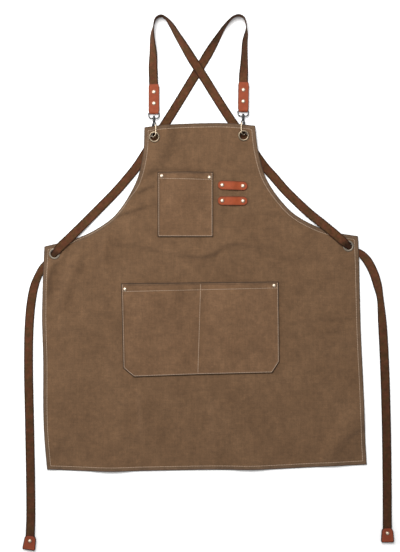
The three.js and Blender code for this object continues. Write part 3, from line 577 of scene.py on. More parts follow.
def piece(name, shape, finish, stands_for=(), body="apron"):
    """One object at the origin: doubled points welded, faces turned out, carried by its body."""
    mesh = bpy.data.meshes.new(name)
    mesh.from_pydata((shape.points * MM).tolist(), [], shape.faces)
    for mark, values in shape.marks.items():
        kind, field = ("FLOAT", "value") if values.ndim == 1 else ("FLOAT_VECTOR", "vector")
        layer = mesh.attributes.new(mark, kind, "POINT")
        layer.data.foreach_set(field, np.ascontiguousarray(values, np.float32).ravel())
    work = bmesh.new()
    work.from_mesh(mesh)
    bmesh.ops.remove_doubles(work, verts=work.verts, dist=WELD * MM)
    bmesh.ops.recalc_face_normals(work, faces=work.faces)
    work.to_mesh(mesh)
    work.free()
    corners = np.zeros(len(mesh.polygons), np.int32)
    mesh.polygons.foreach_get("loop_total", corners)
    mesh.polygons.foreach_set("use_smooth", corners <= QUAD)
    mesh.materials.append(finish)
    made = bpy.data.objects.new(name, mesh)
    bpy.context.scene.collection.objects.link(made)
    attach(made, body)
    if stands_for:
        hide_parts(*stands_for)
    return made


# Heights of the cloth

def mounds(table, x, y):
    """Sum of low mounds: each is its height times the square of one less far squared, where far counts half
    lengths along the mound and half widths across it."""
    total = np.zeros(np.shape(x))
    for middle_x, middle_y, turn, length, width, height in table:
        cos, sin = np.cos(np.radians(turn)), np.sin(np.radians(turn))
        along = (x - middle_x) * cos + (y - middle_y) * sin
        across = (y - middle_y) * cos - (x - middle_x) * sin
        far = (along / length) ** 2 + (across / width) ** 2
        total = total + height * np.clip(1 - far, 0, None) ** 2
    return total


def ridge(crease, x, y):
    """A smooth line of heights that falls off to its two sides: each place takes the height at the nearest
    point of the line, times one less an eased share of its distance over the width on its side."""
    line = smooth_curve(crease.line, per_span=4)
    start, step = line[:-1], np.diff(line, axis=0)
    reach = max(crease.right, crease.left)
    low, high = line.min(axis=0) - reach, line.max(axis=0) + reach
    near = (x > low[0]) & (x < high[0]) & (y > low[1]) & (y < high[1])
    away_x, away_y = x[near][:, None] - start[:, 0], y[near][:, None] - start[:, 1]
    share = np.clip((away_x * step[:, 0] + away_y * step[:, 1]) / (step[:, :2] ** 2).sum(axis=1), 0, 1)
    away_x, away_y = away_x - share * step[:, 0], away_y - share * step[:, 1]
    far = np.hypot(away_x, away_y)
    closest = far.argmin(axis=1)[:, None]
    side = np.take_along_axis(step[:, 0] * away_y - step[:, 1] * away_x, closest, axis=1)
    far = np.take_along_axis(far, closest, axis=1) / np.where(side > 0, crease.left, crease.right)
    height = np.take_along_axis(start[:, 2] + share * step[:, 2], closest, axis=1)
    total = np.zeros(np.shape(x))
    total[near] = (height * (1 - smoothstep(far, 0, 1)))[:, 0]
    return total


def creases(x, y):
    """The ridges of all creases, added up."""
    return sum(ridge(crease, x, y) for crease in CREASES.values())


def lift(x, y):
    """Height of the cloth's hem face over the table: the folds and creases, levelled round each grommet."""
    x, y = np.broadcast_arrays(np.atleast_1d(x), np.atleast_1d(y))
    height, fine = mounds(FOLDS, x, y), creases(x, y)
    for ring_x, ring_y in GROMMETS.values():
        away = np.hypot(x - ring_x, y - ring_y)
        level = 1 - smoothstep(away, FLAT_INNER, FLAT_OUTER)
        height = height + level * (grommet_lift(ring_x, ring_y) - height)
        fine = fine * smoothstep(away, SEAT_INNER, SEAT_OUTER)
    return height + fine


def grommet_lift(x, y):
    """Height of the folds alone at a grommet's middle, to which the cloth round it is levelled."""
    return mounds(FOLDS, np.float64(x), np.float64(y))


def panel_top(x, y):
    """Upper face of the panel: two thicknesses of canvas over the hem's lower face."""
    return lift(x, y) + 2 * CANVAS


def groove(distance):
    """Bell-shaped dip along a sewn line."""
    return -GROOVE_DEPTH * np.exp(-((distance / GROOVE_WIDTH) ** 2))


def line_distance(line, x, y):
    """Signed distance to the straight line through two points, positive on its left."""
    (x0, y0), (x1, y1) = line
    length = np.hypot(x1 - x0, y1 - y0)
    return ((x1 - x0) * (y - y0) - (y1 - y0) * (x - x0)) / length


def pocket_rise(shape, x, y):
    """Flat along the seams, rising to the open mouth in the middle of each compartment."""
    levels = [point[1] for point in shape.top + shape.bottom]
    low, high = min(levels), max(levels)
    up = smoothstep((y - low) / (high - low), CLIMB_START, CLIMB_END)
    swell = np.zeros(np.shape(x))
    for left, right in shape.compartments:
        share = (x - left) / (right - left)
        middle = 0.5 - SEAM_MARGIN
        swell = swell + smoothstep(share, SEAM_MARGIN, middle) * smoothstep(1 - share, SEAM_MARGIN, middle)
    return POCKET_RISE * up * swell


def pocket_under(shape, x, y):
    """Lower face of a pocket: the panel's upper face, a small gap and the pocket's rise."""
    return panel_top(x, y) + GAP + pocket_rise(shape, x, y)


def pocket_top(shape, x, y):
    """Face of the pocket: double above the hem's seam, dipping along that seam and the divider's."""
    over = line_distance(shape.hem, x, y)
    hem = POCKET_HEM * smoothstep(over, *POCKET_HEM_EASE)
    height = pocket_under(shape, x, y) + CANVAS + hem + groove(over)
    if shape.divider:
        height = height + groove(line_distance(shape.divider, x, y))
    return height


# Cloth: a band round the edge and a patch inside it

Cloth = namedtuple("Cloth", "edges sides top under band_top band_under insets levels holes")


def inward(edges, inset):
    """Closed clockwise line of edges, moved in by the inset: each edge's points move square to it, and its
    ends draw in by the inset times the tangent of half the turn at the corner, so that neighbours meet at
    the mitre."""
    heading = [(unit(edge[1] - edge[0]), unit(edge[-1] - edge[-2])) for edge in edges]
    turns = []
    for number, (leave, _) in enumerate(heading):
        arrive = heading[number - 1][1]
        turns.append(np.arctan2(arrive[1] * leave[0] - arrive[0] * leave[1], arrive @ leave))
    loop = []
    for number, edge in enumerate(edges):
        run = run_length(edge)
        along = unit(np.gradient(edge, axis=0))
        start = inset * np.tan(turns[number] / 2)
        end = inset * np.tan(turns[(number + 1) % len(edges)] / 2)
        stops = start + (run[-1] - start - end) * run[:-1] / run[-1]
        x, y, right, up = (np.interp(stops, run, column) for column in (*edge.T, along[:, 1], -along[:, 0]))
        loop.append(np.column_stack([x + inset * right, y + inset * up]))
    return np.vstack(loop)


def four_edge_patch(top, right, bottom, left):
    """Patch between four edges: each pair of opposite edges mixed straight across, the two mixes added and
    the straight mix of the corners taken off once."""
    bottom, left = bottom[::-1], left[::-1]
    u = np.linspace(0, 1, len(top))[None, :, None]
    v = np.linspace(0, 1, len(right))[:, None, None]
    across = (1 - u) * left[:, None] + u * right[:, None]
    down = (1 - v) * top[None] + v * bottom[None]
    corners = (1 - v) * ((1 - u) * top[0] + u * top[-1]) + v * ((1 - u) * bottom[0] + u * bottom[-1])
    return across + down - corners


def edge_profile(inner, roll, steps):
    """Insets and levels over the edge: from the inner line out over the top, half round the rolled edge and
    back in below. The level runs from 1 on the upper face to -1 on the lower."""
    flat = np.array([share for share in steps if roll < share < inner])
    angle = np.radians(np.linspace(90, -90, ROLL_RINGS))
    inset = np.concatenate([[inner], flat[::-1], roll * (1 - np.cos(angle)), flat, [inner]])
    level = np.concatenate([np.ones(len(flat) + 1), np.sin(angle), -np.ones(len(flat) + 1)])
    return inset, level


def cut_holes(grid, holes):
    """Cells in the core of a hole are dropped and the points round them move out to the hole's circle."""
    rows, columns = grid.shape[0] - 1, grid.shape[1] - 1
    gone = np.zeros((rows, columns), bool)
    middle = (grid[:-1, :-1] + grid[1:, :-1] + grid[:-1, 1:] + grid[1:, 1:]) / 4
    for x, y, radius in holes:
        inside = np.hypot(middle[..., 0] - x, middle[..., 1] - y) < HOLE_CORE * radius
        touching = np.zeros((rows + 1, columns + 1), int)
        for down in (0, 1):
            for over in (0, 1):
                touching[down:down + rows, over:over + columns] += inside
        rim = (touching > 0) & (touching < CELLS_ROUND_POINT)
        grid[rim] = (x, y) + radius * unit(grid[rim] - (x, y))
        gone |= inside
    return gone


def hole_walls(gone, columns, offset):
    """Quads between the upper and lower rims of the holes: one for each side between a dropped and a kept
    cell."""
    row, column = np.nonzero(gone[:-1] != gone[1:])
    level = np.column_stack([(row + 1) * columns + column, (row + 1) * columns + column + 1])
    row, column = np.nonzero(gone[:, :-1] != gone[:, 1:])
    upright = np.column_stack([row * columns + column + 1, (row + 1) * columns + column + 1])
    side = np.vstack([level, upright])
    return np.column_stack([side, side[:, ::-1] + offset])


def cloth_shape(cloth):
    """Closed sheet: the edge profile carried round the outline, and a patch between four edges inside it,
    above and below."""
    loop = inward(cloth.edges, 0.0)
    run = run_length(np.vstack([loop, loop[:1]]))[:-1]
    inset, level = cloth.insets[:, None], cloth.levels[:, None]
    rings = np.stack([inward(cloth.edges, step) for step in cloth.insets])
    x, y = rings[..., 0], rings[..., 1]
    upper = cloth.top(x, y) + cloth.band_top(inset, run)
    lower = cloth.under(x, y) + cloth.band_under(inset)
    band = np.dstack([x, y, lower + (upper - lower) * (level + 1) / 2])
    inner = np.vstack([rings[0], rings[0][:1]])
    ends = np.cumsum([0] + cloth.sides)
    grid = four_edge_patch(*[inner[start:end + 1] for start, end in zip(ends[:-1], ends[1:])])
    gone = cut_holes(grid, cloth.holes)
    x, y = grid[..., 0], grid[..., 1]
    above = np.dstack([x, y, cloth.top(x, y)]).reshape(-1, 3)
    below = np.dstack([x, y, cloth.under(x, y) + cloth.band_under(cloth.insets[0])]).reshape(-1, 3)
    first, size = band.shape[0] * band.shape[1], len(above)
    kept = grid_faces(*grid.shape[:2])[~gone.ravel()]
    faces = [grid_faces(*band.shape[:2], wrap_columns=True), kept + first, kept[:, ::-1] + first + size]
    faces.append(hole_walls(gone, grid.shape[1], size) + first)
    edge = np.concatenate([np.repeat(cloth.insets, band.shape[1]), np.full(2 * size, INSIDE)])
    points = np.vstack([band.reshape(-1, 3), above, below])
    return Shape(points, np.vstack(faces).tolist(), {"edge": edge}), run


# Stitches

def stitch_shape(lines):
    """Short threads along each line of surface points: rings of points round each stitch, whose radius swells
    towards the middle by the root of one less a share of the square, and whose height is a parabola that dips
    into the cloth at both ends."""
    stops = [evenly(line, max(2, int(run_length(line)[-1] / STITCH_PITCH))) for line in lines]
    middle = np.vstack([(line[1:] + line[:-1]) / 2 for line in stops])
    along = unit(np.vstack([np.diff(line, axis=0) for line in stops]))
    side = unit(np.cross([0.0, 0.0, 1.0], along))
    up = np.cross(along, side)
    wobble = np.random.default_rng(STITCH_SEED).normal(0, STITCH_WOBBLE, (len(middle), 1))
    along = unit(along + wobble * side)
    t = np.linspace(-1, 1, STITCH_RINGS)[None, :, None, None]
    angle = np.linspace(0, 2 * np.pi, STITCH_SIDES, endpoint=False)[None, None, :, None]
    radius = STITCH_THICK * np.sqrt(1 - STITCH_TAPER * t**2)
    height = STITCH_ARCH * (1 - t**2) - STITCH_SINK
    centre = middle[:, None, None] + along[:, None, None] * t * STITCH_LENGTH / 2
    points = centre + side[:, None, None] * radius * np.cos(angle)
    points = points + up[:, None, None] * (radius * STITCH_FLAT * np.sin(angle) + height)
    size = STITCH_RINGS * STITCH_SIDES
    starts = size * np.arange(len(middle))[:, None, None]
    quads = grid_faces(STITCH_RINGS, STITCH_SIDES, wrap_columns=True)[None] + starts
    caps = np.array([range(STITCH_SIDES), range(size - STITCH_SIDES, size)])[None] + starts
    faces = quads.reshape(-1, QUAD).tolist() + caps.reshape(-1, STITCH_SIDES).tolist()
    return Shape(points.reshape(-1, 3), faces, {})


def on_surface(points, height):
    """Places in the plane, raised to the height that is a function of them."""
    x, y = np.asarray(points, float).T
    return np.column_stack([x, y, height(x, y)])


# Materials: sizes of a pattern are metres, distances from an edge and along a strap millimetres

# Ranges of a noise that light and shade are spread over
WIDE = (0.25, 0.75)
MIDDLE = (0.3, 0.7)
# Canvas: the shades are given as the squeeze of a pattern along X, Y and Z, its size and its amount
CANVAS_YARN = 0.0018
CANVAS_FLECK = 0.0026
CANVAS_CLOUD = 0.08
CANVAS_CRUMPLE = 0.035
CANVAS_SHADES = [
    ((1, 1, 1), 0.008, 0.09), ((1, 1, 1), 0.021, 0.1), ((1, 1, 1), CANVAS_CLOUD, 0.1),
    ((1, 0.07, 1), 0.0032, 0.05), ((0.09, 1, 1), 0.0026, 0.05),
]
HEM_TINT = (7.4, 8.2)
# Webbing: painted shade towards the edge, and painted light near the tab that falls off along the strap,
# each as two distances and two lights
WEBBING_RIB = 2.4
WEBBING_FLECK = 0.0024
WEBBING_PATCH = 0.03
WEBBING_MOTTLE = 0.007
WEBBING_HUE = 0.011
WEBBING_HUE_RANGE = (0.38, 0.62)
WEBBING_EDGE_SHADE = (6.6, 9.4, 1.1, 0.3)
WEBBING_TAB_LIGHT = (180, 330, 1.08, 0.98)
WEBBING_RED = (0.084, 0.0298, 0.0135, 1)
WEBBING_OLIVE = (0.065, 0.0305, 0.0116, 1)
# Leather: the rim is rubbed browner, and a line is pressed along it
LEATHER_GRAIN = 0.0016
LEATHER_MOTTLE = 0.009
LEATHER_FLECK = 0.002
LEATHER_RIM = (0.9, 2.6)
CREASE_INSET = 3.0
CREASE_HALF = (0.2, 0.9)
# Metal and thread
METAL_TARNISH = 0.0022
METAL_TARNISH_RANGE = (0.45, 0.75)
METAL_SCRATCH = 0.0005
METAL_PATCH_GLOSS = 0.12
METAL_SCRATCH_GLOSS = 0.06
THREAD_SOIL = 0.006
THREAD_TWIST = 0.0004
THREAD_CLEAN = (0.46, 0.34, 0.24, 1)
THREAD_SOILED = (0.34, 0.24, 0.165, 1)


def finish_nodes(name):
    """A new material, its node tree and its shader."""
    finish = bpy.data.materials.new(name)
    finish.use_nodes = True
    return finish, finish.node_tree, finish.node_tree.nodes["Principled BSDF"]


def wired(tree, made, inputs):
    """Sets inputs by name or place: another node's output is linked, and a value is set on the socket."""
    for key, value in dict(inputs).items():
        if isinstance(value, bpy.types.NodeSocket):
            tree.links.new(value, made.inputs[key])
        else:
            made.inputs[key].default_value = value


def node(tree, kind, inputs=(), **settings):
    """A node with its settings and inputs."""
    made = tree.nodes.new(kind)
    for key, value in settings.items():
        setattr(made, key, value)
    wired(tree, made, inputs)
    return made


def places(tree, scale=(1, 1, 1), turn=0):
    """Object coordinates, stretched and turned."""
    coords = node(tree, "ShaderNodeTexCoord").outputs["Object"]
    inputs = {"Vector": coords, "Scale": scale, "Rotation": (0, 0, np.radians(turn))}
    return node(tree, "ShaderNodeMapping", inputs).outputs["Vector"]


def noise(tree, vector, size, detail=2.0, roughness=0.5):
    """Cloudy noise from 0 to 1 whose patches are about the size in metres."""
    inputs = {"Vector": vector, "Scale": 1 / size, "Detail": detail, "Roughness": roughness}
    return node(tree, "ShaderNodeTexNoise", inputs).outputs["Fac"]


def maths(tree, operation, first, second=0.0):
    """The operation's result for one or two numbers."""
    return node(tree, "ShaderNodeMath", {0: first, 1: second}, operation=operation).outputs[0]


def scaled(tree, value, low, high, to_low, to_high):
    """The value's range from low to high, spread over another range."""
    inputs = {"Value": value, "From Min": low, "From Max": high, "To Min": to_low, "To Max": to_high}
    return node(tree, "ShaderNodeMapRange", inputs).outputs["Result"]


def product(tree, shades):
    """Product of several lights, each one a value whose range is spread over a range of light."""
    light, *others = [scaled(tree, *shade) for shade in shades]
    for other in others:
        light = maths(tree, "MULTIPLY", light, other)
    return light


def mixed(tree, share, first, second, blend="MIX"):
    """Two colours mixed by the share of the second, or blended in another way."""
    inputs = {0: share, 6: first, 7: second}
    return node(tree, "ShaderNodeMix", inputs, data_type="RGBA", blend_type=blend).outputs[2]


def bumped(tree, height, distance, strength=1.0, under=None):
    """Normals of a relief whose height is distance metres at most, over those of the relief under it."""
    inputs = {"Height": height, "Distance": distance, "Strength": strength}
    if under is not None:
        inputs["Normal"] = under
    return node(tree, "ShaderNodeBump", inputs).outputs["Normal"]


def mark(tree, name, output="Fac"):
    """The mark that a piece carries at each point."""
    return node(tree, "ShaderNodeAttribute", attribute_name=name).outputs[output]


def brightened(tree, colour, amount):
    """The colour times an amount of light and shade."""
    grey = node(tree, "ShaderNodeCombineColor", {0: amount, 1: amount, 2: amount}).outputs[0]
    return mixed(tree, 1.0, colour, grey, "MULTIPLY")


def canvas_finish(name, warm, cool, hem, edge):
    """Washed brown canvas: the colour goes from warm to cool in clouds, and to a greyer colour along the hem
    beside the edge. Its brightness is the product of flecks, patches and slubs along both yarns, and it is
    painted darker at the edge, a painted shade that on the panel is also wear: edge gives the two distances
    and the least light. The weave's relief is the product of two sine waves, one for each set of yarns."""
    finish, tree, shader = finish_nodes(name)
    flat = places(tree)
    near = mark(tree, "edge")
    fleck = noise(tree, flat, CANVAS_FLECK, detail=3, roughness=0.7)
    shades = [(fleck, *WIDE, 0.84, 1.16)]
    for squeeze, size, amount in CANVAS_SHADES:
        shades.append((noise(tree, places(tree, squeeze), size), *MIDDLE, 1 - amount, 1 + amount))
    # Painted shade: the cloth is painted darker towards its edge
    shades.append((near, *edge, 1.0))
    colour = mixed(tree, noise(tree, flat, CANVAS_CLOUD), warm, cool)
    colour = mixed(tree, scaled(tree, near, *HEM_TINT, 1.0, 0.0), colour, hem)
    x, y, _ = node(tree, "ShaderNodeSeparateXYZ", {0: flat}).outputs
    warp, weft = (maths(tree, "MULTIPLY", place, 2 * np.pi / CANVAS_YARN) for place in (x, y))
    weave = maths(tree, "MULTIPLY", maths(tree, "SINE", warp), maths(tree, "SINE", weft))
    crumple = noise(tree, flat, CANVAS_CRUMPLE, detail=3)
    relief = bumped(tree, crumple, distance=0.0022, strength=0.35)
    relief = bumped(tree, fleck, distance=0.0004, strength=0.5, under=relief)
    wired(tree, shader, {
        "Base Color": brightened(tree, colour, product(tree, shades)),
        "Normal": bumped(tree, weave, distance=0.00016, strength=0.8, under=relief),
        "Roughness": 0.95,
        "Specular IOR Level": 0.15,
        "Sheen Weight": 0.08,
        "Sheen Roughness": 0.6,
    })
    return finish


def webbing_finish():
    """Dark brown cotton webbing: its ribs are a sine wave of the distance along plus the distance from the
    middle, which makes chevrons. Its brightness is the product of flecks, patches and ribs, painted shade
    towards the edges, painted light near the tab and the painted shade that the strap carries, on a colour
    between red and olive brown."""
    finish, tree, shader = finish_nodes("brown_webbing")
    # The weave mark carries the distance across, the distance along and the painted shade of the strap
    across, along, shade = node(tree, "ShaderNodeSeparateXYZ", {0: mark(tree, "weave", "Vector")}).outputs
    flat = places(tree)
    beside = maths(tree, "ABSOLUTE", across)
    slant = maths(tree, "ADD", beside, along)
    rib = maths(tree, "SINE", maths(tree, "MULTIPLY", slant, 2 * np.pi / WEBBING_RIB))
    fleck = noise(tree, flat, WEBBING_FLECK, detail=3, roughness=0.7)
    # The last two are painted: shade towards the edges and light near the tab
    light = product(tree, [
        (fleck, *WIDE, 0.8, 1.2),
        (noise(tree, flat, WEBBING_PATCH), *MIDDLE, 0.88, 1.12),
        (noise(tree, flat, WEBBING_MOTTLE), *MIDDLE, 0.8, 1.18),
        (rib, -1, 1, 0.88, 1.1),
        (beside, *WEBBING_EDGE_SHADE),
        (along, *WEBBING_TAB_LIGHT),
    ])
    hue = scaled(tree, noise(tree, flat, WEBBING_HUE), *WEBBING_HUE_RANGE, 0, 1)
    colour = mixed(tree, hue, WEBBING_RED, WEBBING_OLIVE)
    relief = bumped(tree, fleck, distance=0.0004, strength=0.5)
    wired(tree, shader, {
        "Base Color": brightened(tree, colour, maths(tree, "MULTIPLY", light, shade)),
        "Normal": bumped(tree, rib, distance=0.00022, strength=0.8, under=relief),
        "Roughness": 0.9,
        "Specular IOR Level": 0.12,
        "Sheen Weight": 0.02,
    })
    return finish


def leather_finish(name, face, rim, cut, burnish, crease):
    """Smooth reddish leather: fine grain, mottled dye, a browner rubbed rim, a burnished edge over a range of
    distances from it, and a line pressed along it that has no relief and is painted lighter or darker by
    crease; where it is lighter, it is a painted highlight of the pressed line."""
    finish, tree, shader = finish_nodes(name)
    flat = places(tree)
    cells = {"Vector": flat, "Scale": 1 / LEATHER_GRAIN}
    grain = node(tree, "ShaderNodeTexVoronoi", cells).outputs["Distance"]
    mottle = noise(tree, flat, LEATHER_MOTTLE, detail=3)
    fleck = noise(tree, flat, LEATHER_FLECK, detail=3, roughness=0.65)
    near = mark(tree, "edge")
    colour = mixed(tree, scaled(tree, near, *LEATHER_RIM, 1.0, 0.0), face, rim)
    colour = mixed(tree, scaled(tree, near, *burnish, 1.0, 0.0), colour, cut)
    line = maths(tree, "ABSOLUTE", maths(tree, "SUBTRACT", near, CREASE_INSET))
    # The pressed line is painted lighter or darker by crease; where lighter, it is a painted highlight
    light = product(tree, [
        (mottle, *MIDDLE, 0.88, 1.1), (line, *CREASE_HALF, crease, 1.0), (fleck, *MIDDLE, 0.94, 1.06),
    ])
    relief = bumped(tree, mottle, distance=0.0006, strength=0.3)
    wired(tree, shader, {
        "Base Color": brightened(tree, colour, light),
        "Normal": bumped(tree, grain, distance=0.00018, strength=0.5, under=relief),
        "Roughness": scaled(tree, fleck, *MIDDLE, 0.46, 0.6),
        "Specular IOR Level": 0.1,
    })
    return finish


def metal_finish(name, bright, tarnish_and_dark_reflection, roughness, wear):
    """Plated metal: fine scratches in its gloss and duller cloudy patches of tarnish, and its dark colour
    where the tone that a piece carries is 1, which on the hooks and the rivets' brims is a painted dark
    reflection."""
    finish, tree, shader = finish_nodes(name)
    cloud = noise(tree, places(tree), METAL_TARNISH, detail=3, roughness=0.6)
    brush = noise(tree, places(tree, scale=(1, 0.15, 1), turn=30), METAL_SCRATCH)
    tarnish = scaled(tree, cloud, *METAL_TARNISH_RANGE, 0.0, wear)
    gloss = scaled(tree, cloud, *MIDDLE, roughness, roughness + METAL_PATCH_GLOSS)
    wired(tree, shader, {
        # The dark colour stands for tarnish, and where the tone is 1 for a painted dark reflection
        "Base Color": mixed(tree, maths(tree, "MAXIMUM", tarnish, mark(tree, "tone")), bright, tarnish_and_dark_reflection),
        "Normal": bumped(tree, brush, distance=0.00003, strength=0.4),
        "Roughness": maths(tree, "ADD", gloss, maths(tree, "MULTIPLY", brush, METAL_SCRATCH_GLOSS)),
        "Metallic": 1.0,
    })
    return finish


def thread_finish():
    """Pale tan sewing thread: clean and soiled tan mixed by a noise, and a fine twist in relief."""
    finish, tree, shader = finish_nodes("tan_thread")
    soil = noise(tree, places(tree), THREAD_SOIL)
    twist = noise(tree, places(tree, turn=35), THREAD_TWIST, detail=1)
    wired(tree, shader, {
        "Base Color": mixed(tree, soil, THREAD_CLEAN, THREAD_SOILED),
        "Normal": bumped(tree, twist, distance=0.0001, strength=0.6),
        "Roughness": 0.8,
    })
    return finish


# Panel canvas: its darker edge is partly wear, partly painted shade of the rolled edge
PANEL_FINISH = canvas_finish(
    "washed_canvas", warm=(0.126, 0.0672, 0.0322, 1), cool=(0.1165, 0.0653, 0.0335, 1),
    hem=(0.11, 0.0658, 0.0375, 1), edge=(0.5, 2.4, 0.42),
)
# Pocket canvas, lighter than the panel's: its edge is painted much darker, a painted shadow along its sewn
# edges and at its mouth
POCKET_FINISH = canvas_finish(
    "pocket_canvas", warm=(0.137, 0.0725, 0.0352, 1), cool=(0.1275, 0.0707, 0.0367, 1),
    hem=(0.1255, 0.0707, 0.0385, 1), edge=(0.9, 2.5, 0.24),
)
WEBBING_FINISH = webbing_finish()
TAB_FINISH = leather_finish(
    "russet_leather", face=(0.225, 0.0475, 0.0185, 1), rim=(0.165, 0.041, 0.0185, 1),
    cut=(0.065, 0.0185, 0.01, 1), burnish=(0.2, 1.2), crease=1.08,
)
LOOP_FINISH = leather_finish(
    "orange_leather", face=(0.255, 0.0525, 0.0185, 1), rim=(0.18, 0.042, 0.0165, 1),
    cut=(0.065, 0.018, 0.0095, 1), burnish=(0.2, 1.7), crease=0.84,
)
TIP_FINISH = leather_finish(
    "dark_russet_leather", face=(0.184, 0.0405, 0.0185, 1), rim=(0.13, 0.03, 0.0145, 1),
    cut=(0.04, 0.0125, 0.009, 1), burnish=(0.6, 2.7), crease=1.3,
)
# Nickel: the bright colour's warm tint is a painted reflection of the brown canvas; the dark colour is partly
# tarnish, partly painted dark reflection
NICKEL_FINISH = metal_finish(
    "nickel_plate", bright=(0.42, 0.34, 0.24, 1), tarnish_and_dark_reflection=(0.06, 0.06, 0.061, 1), roughness=0.2, wear=0.5,
)
BRASS_FINISH = metal_finish(
    "antique_brass", bright=(0.15, 0.115, 0.078, 1), tarnish_and_dark_reflection=(0.06, 0.046, 0.032, 1), roughness=0.24, wear=0.8,
)
WORN_BRASS_FINISH = metal_finish(
    "worn_brass", bright=(0.24, 0.2, 0.155, 1), tarnish_and_dark_reflection=(0.09, 0.075, 0.058, 1), roughness=0.42, wear=0.55,
)
# Rivets: the dark colour is partly tarnish, partly the painted dark reflection on the brim
RIVET_FINISH = metal_finish(
    "pale_rivet", bright=(0.78, 0.64, 0.5, 1), tarnish_and_dark_reflection=(0.24, 0.18, 0.13, 1), roughness=0.34, wear=0.25,
)
THREAD_FINISH = thread_finish()
GROMMET_FINISH = {
    "bib_left": BRASS_FINISH, "bib_right": BRASS_FINISH,
    "side_left": WORN_BRASS_FINISH, "side_right": WORN_BRASS_FINISH,
}


# Panel

def hem_run(inset, run, stitch):
    """Hem's relief over the single cloth: a plateau as wide as the fold, a groove under the stitching and
    puckers beside it, all gone at the inner line."""
    width = stitch - HEM_STITCH + HEM_WIDTH
    plateau = HEM_RELIEF * (1 - smoothstep(inset, width - HEM_STEP_EASE, width + HEM_STEP_EASE))
    ripple = sum(np.sin(2 * np.pi * run / wave + start) for wave, start in PUCKER_WAVES)
    pucker = PUCKER * ripple * np.exp(-(((inset - stitch) / PUCKER_REACH) ** 2))
    inside = 1 - smoothstep(inset, HEM_INNER - HEM_INNER_EASE, HEM_INNER)
    return (plateau + groove(inset - stitch) + pucker) * inside


def hem_seam(edges):
    """The seam round the panel and its distance from the edge: a mix of two lines, the usual one and one
    close to the edge, whose share eases in and out along the lower left armhole."""
    usual, close = inward(edges, HEM_STITCH), inward(edges, ROLLED_STITCH)
    on_armhole = np.arange(len(usual)) >= len(usual) - PANEL_CELLS["left_armhole"]
    share = on_armhole * smoothstep(usual[:, 0], *ROLLED_FROM) * (1 - smoothstep(usual[:, 1], *ROLLED_TO))
    return usual + share[:, None] * (close - usual), HEM_STITCH + share * (ROLLED_STITCH - HEM_STITCH)


def make_panel():
    """Panel with its hem, grommet holes and seam: a closed sheet on the outline, whose upper face has the
    hem's relief added, and stitches along the line of the seam on that face."""
    edges = [evenly(smooth_curve(points), PANEL_CELLS[name] + 1) for name, points in OUTLINE.items()]
    down = PANEL_CELLS["right_armhole"] + PANEL_CELLS["right_side"]
    sides = [PANEL_CELLS["top"], down, PANEL_CELLS["bottom"], down]
    insets, levels = edge_profile(HEM_INNER, HEM_ROLL, HEM_RINGS)
    fold_under = lambda inset: CANVAS * smoothstep(inset, HEM_WIDTH, HEM_WIDTH + HEM_FOLD_EASE)
    holes = [(x, y, GROMMET_CUT) for x, y in GROMMETS.values()]
    seam, stitch = hem_seam(edges)
    relief = lambda inset, run: hem_run(inset, run, stitch)
    cloth = Cloth(edges, sides, panel_top, lift, relief, fold_under, insets, levels, holes)
    shape, run = cloth_shape(cloth)
    cloth = piece("panel_cloth", shape, PANEL_FINISH, ["apron_panel"])
    seam = on_surface(seam, panel_top)
    seam[:, 2] += relief(stitch, run)
    thread = piece("hem_stitching", stitch_shape([np.vstack([seam, seam[:1]])]), THREAD_FINISH)


# Pockets

def straight_edges(points, cells):
    """Straight edges between the points, each cut into its number of cells."""
    points = np.asarray(points, float)
    return [np.linspace(start, end, count + 1) for start, end, count in zip(points, points[1:], cells)]


def make_pocket(name, shape):
    """Pocket with its seams and rivets: a closed sheet on straight edges, thicker along them, and stitches
    round three sides, along the mouth's hem and along the divider."""
    outline = [shape.top, shape.right, shape.bottom, shape.left]
    edges = [edge for points, cells in zip(outline, shape.cells) for edge in straight_edges(points, cells)]
    sides = [sum(cells) for cells in shape.cells]
    mouth = sides[0]
    insets, levels = edge_profile(POCKET_INNER, POCKET_ROLL, POCKET_RINGS)

    def seam_run(inset, run):
        """Folded edge all round, with a groove under the stitching on the three sewn sides."""
        sewn = np.arange(len(run)) >= mouth
        inside = 1 - smoothstep(inset, POCKET_INNER - POCKET_INNER_EASE, POCKET_INNER)
        return (POCKET_FOLD + sewn * groove(inset - POCKET_STITCH)) * inside

    top = lambda x, y: pocket_top(shape, x, y)
    under = lambda x, y: pocket_under(shape, x, y)
    level = lambda inset: 0 * inset
    built, _ = cloth_shape(Cloth(edges, sides, top, under, seam_run, level, insets, levels, []))
    cloth = piece(f"{name}_cloth", built, POCKET_FINISH, [name])
    seam = inward(edges, POCKET_STITCH)
    around = on_surface(np.vstack([seam[mouth:], seam[:1]]), top)
    around[:, 2] += POCKET_FOLD - GROOVE_DEPTH
    straight = [evenly(line, POCKET_SEAM_STATIONS) for line in (shape.hem, shape.divider) if line]
    lines = [around] + [on_surface(line, top) for line in straight]
    thread = piece(f"{name}_stitching", stitch_shape(lines), THREAD_FINISH)
    for end, (x, y) in zip(("left", "right"), shape.rivets):
        make_rivet(f"{name}_{end}", x, y, pocket_top(shape, x, y)[0])


# Rivets and grommets

def make_rivet(name, x, y, seat):
    """Cap, post and back disc in one turned profile; the cap sits on the seat."""
    cap = smooth_curve(RIVET_CAP, per_span=3) + (0, seat + RIVET_GAP)
    shape = turned(np.vstack([cap, RIVET_BACK]), RIVET_SIDES)
    # Tone: the brim outside the ring is painted dark, a painted dark reflection
    shape.marks["tone"] = smoothstep(np.hypot(*shape.points[:, :2].T), *RIVET_RING)
    piece(f"cap_{name}", placed(shape, np.eye(3), (x, y, 0)), RIVET_FINISH, [f"rivet_{name}"])


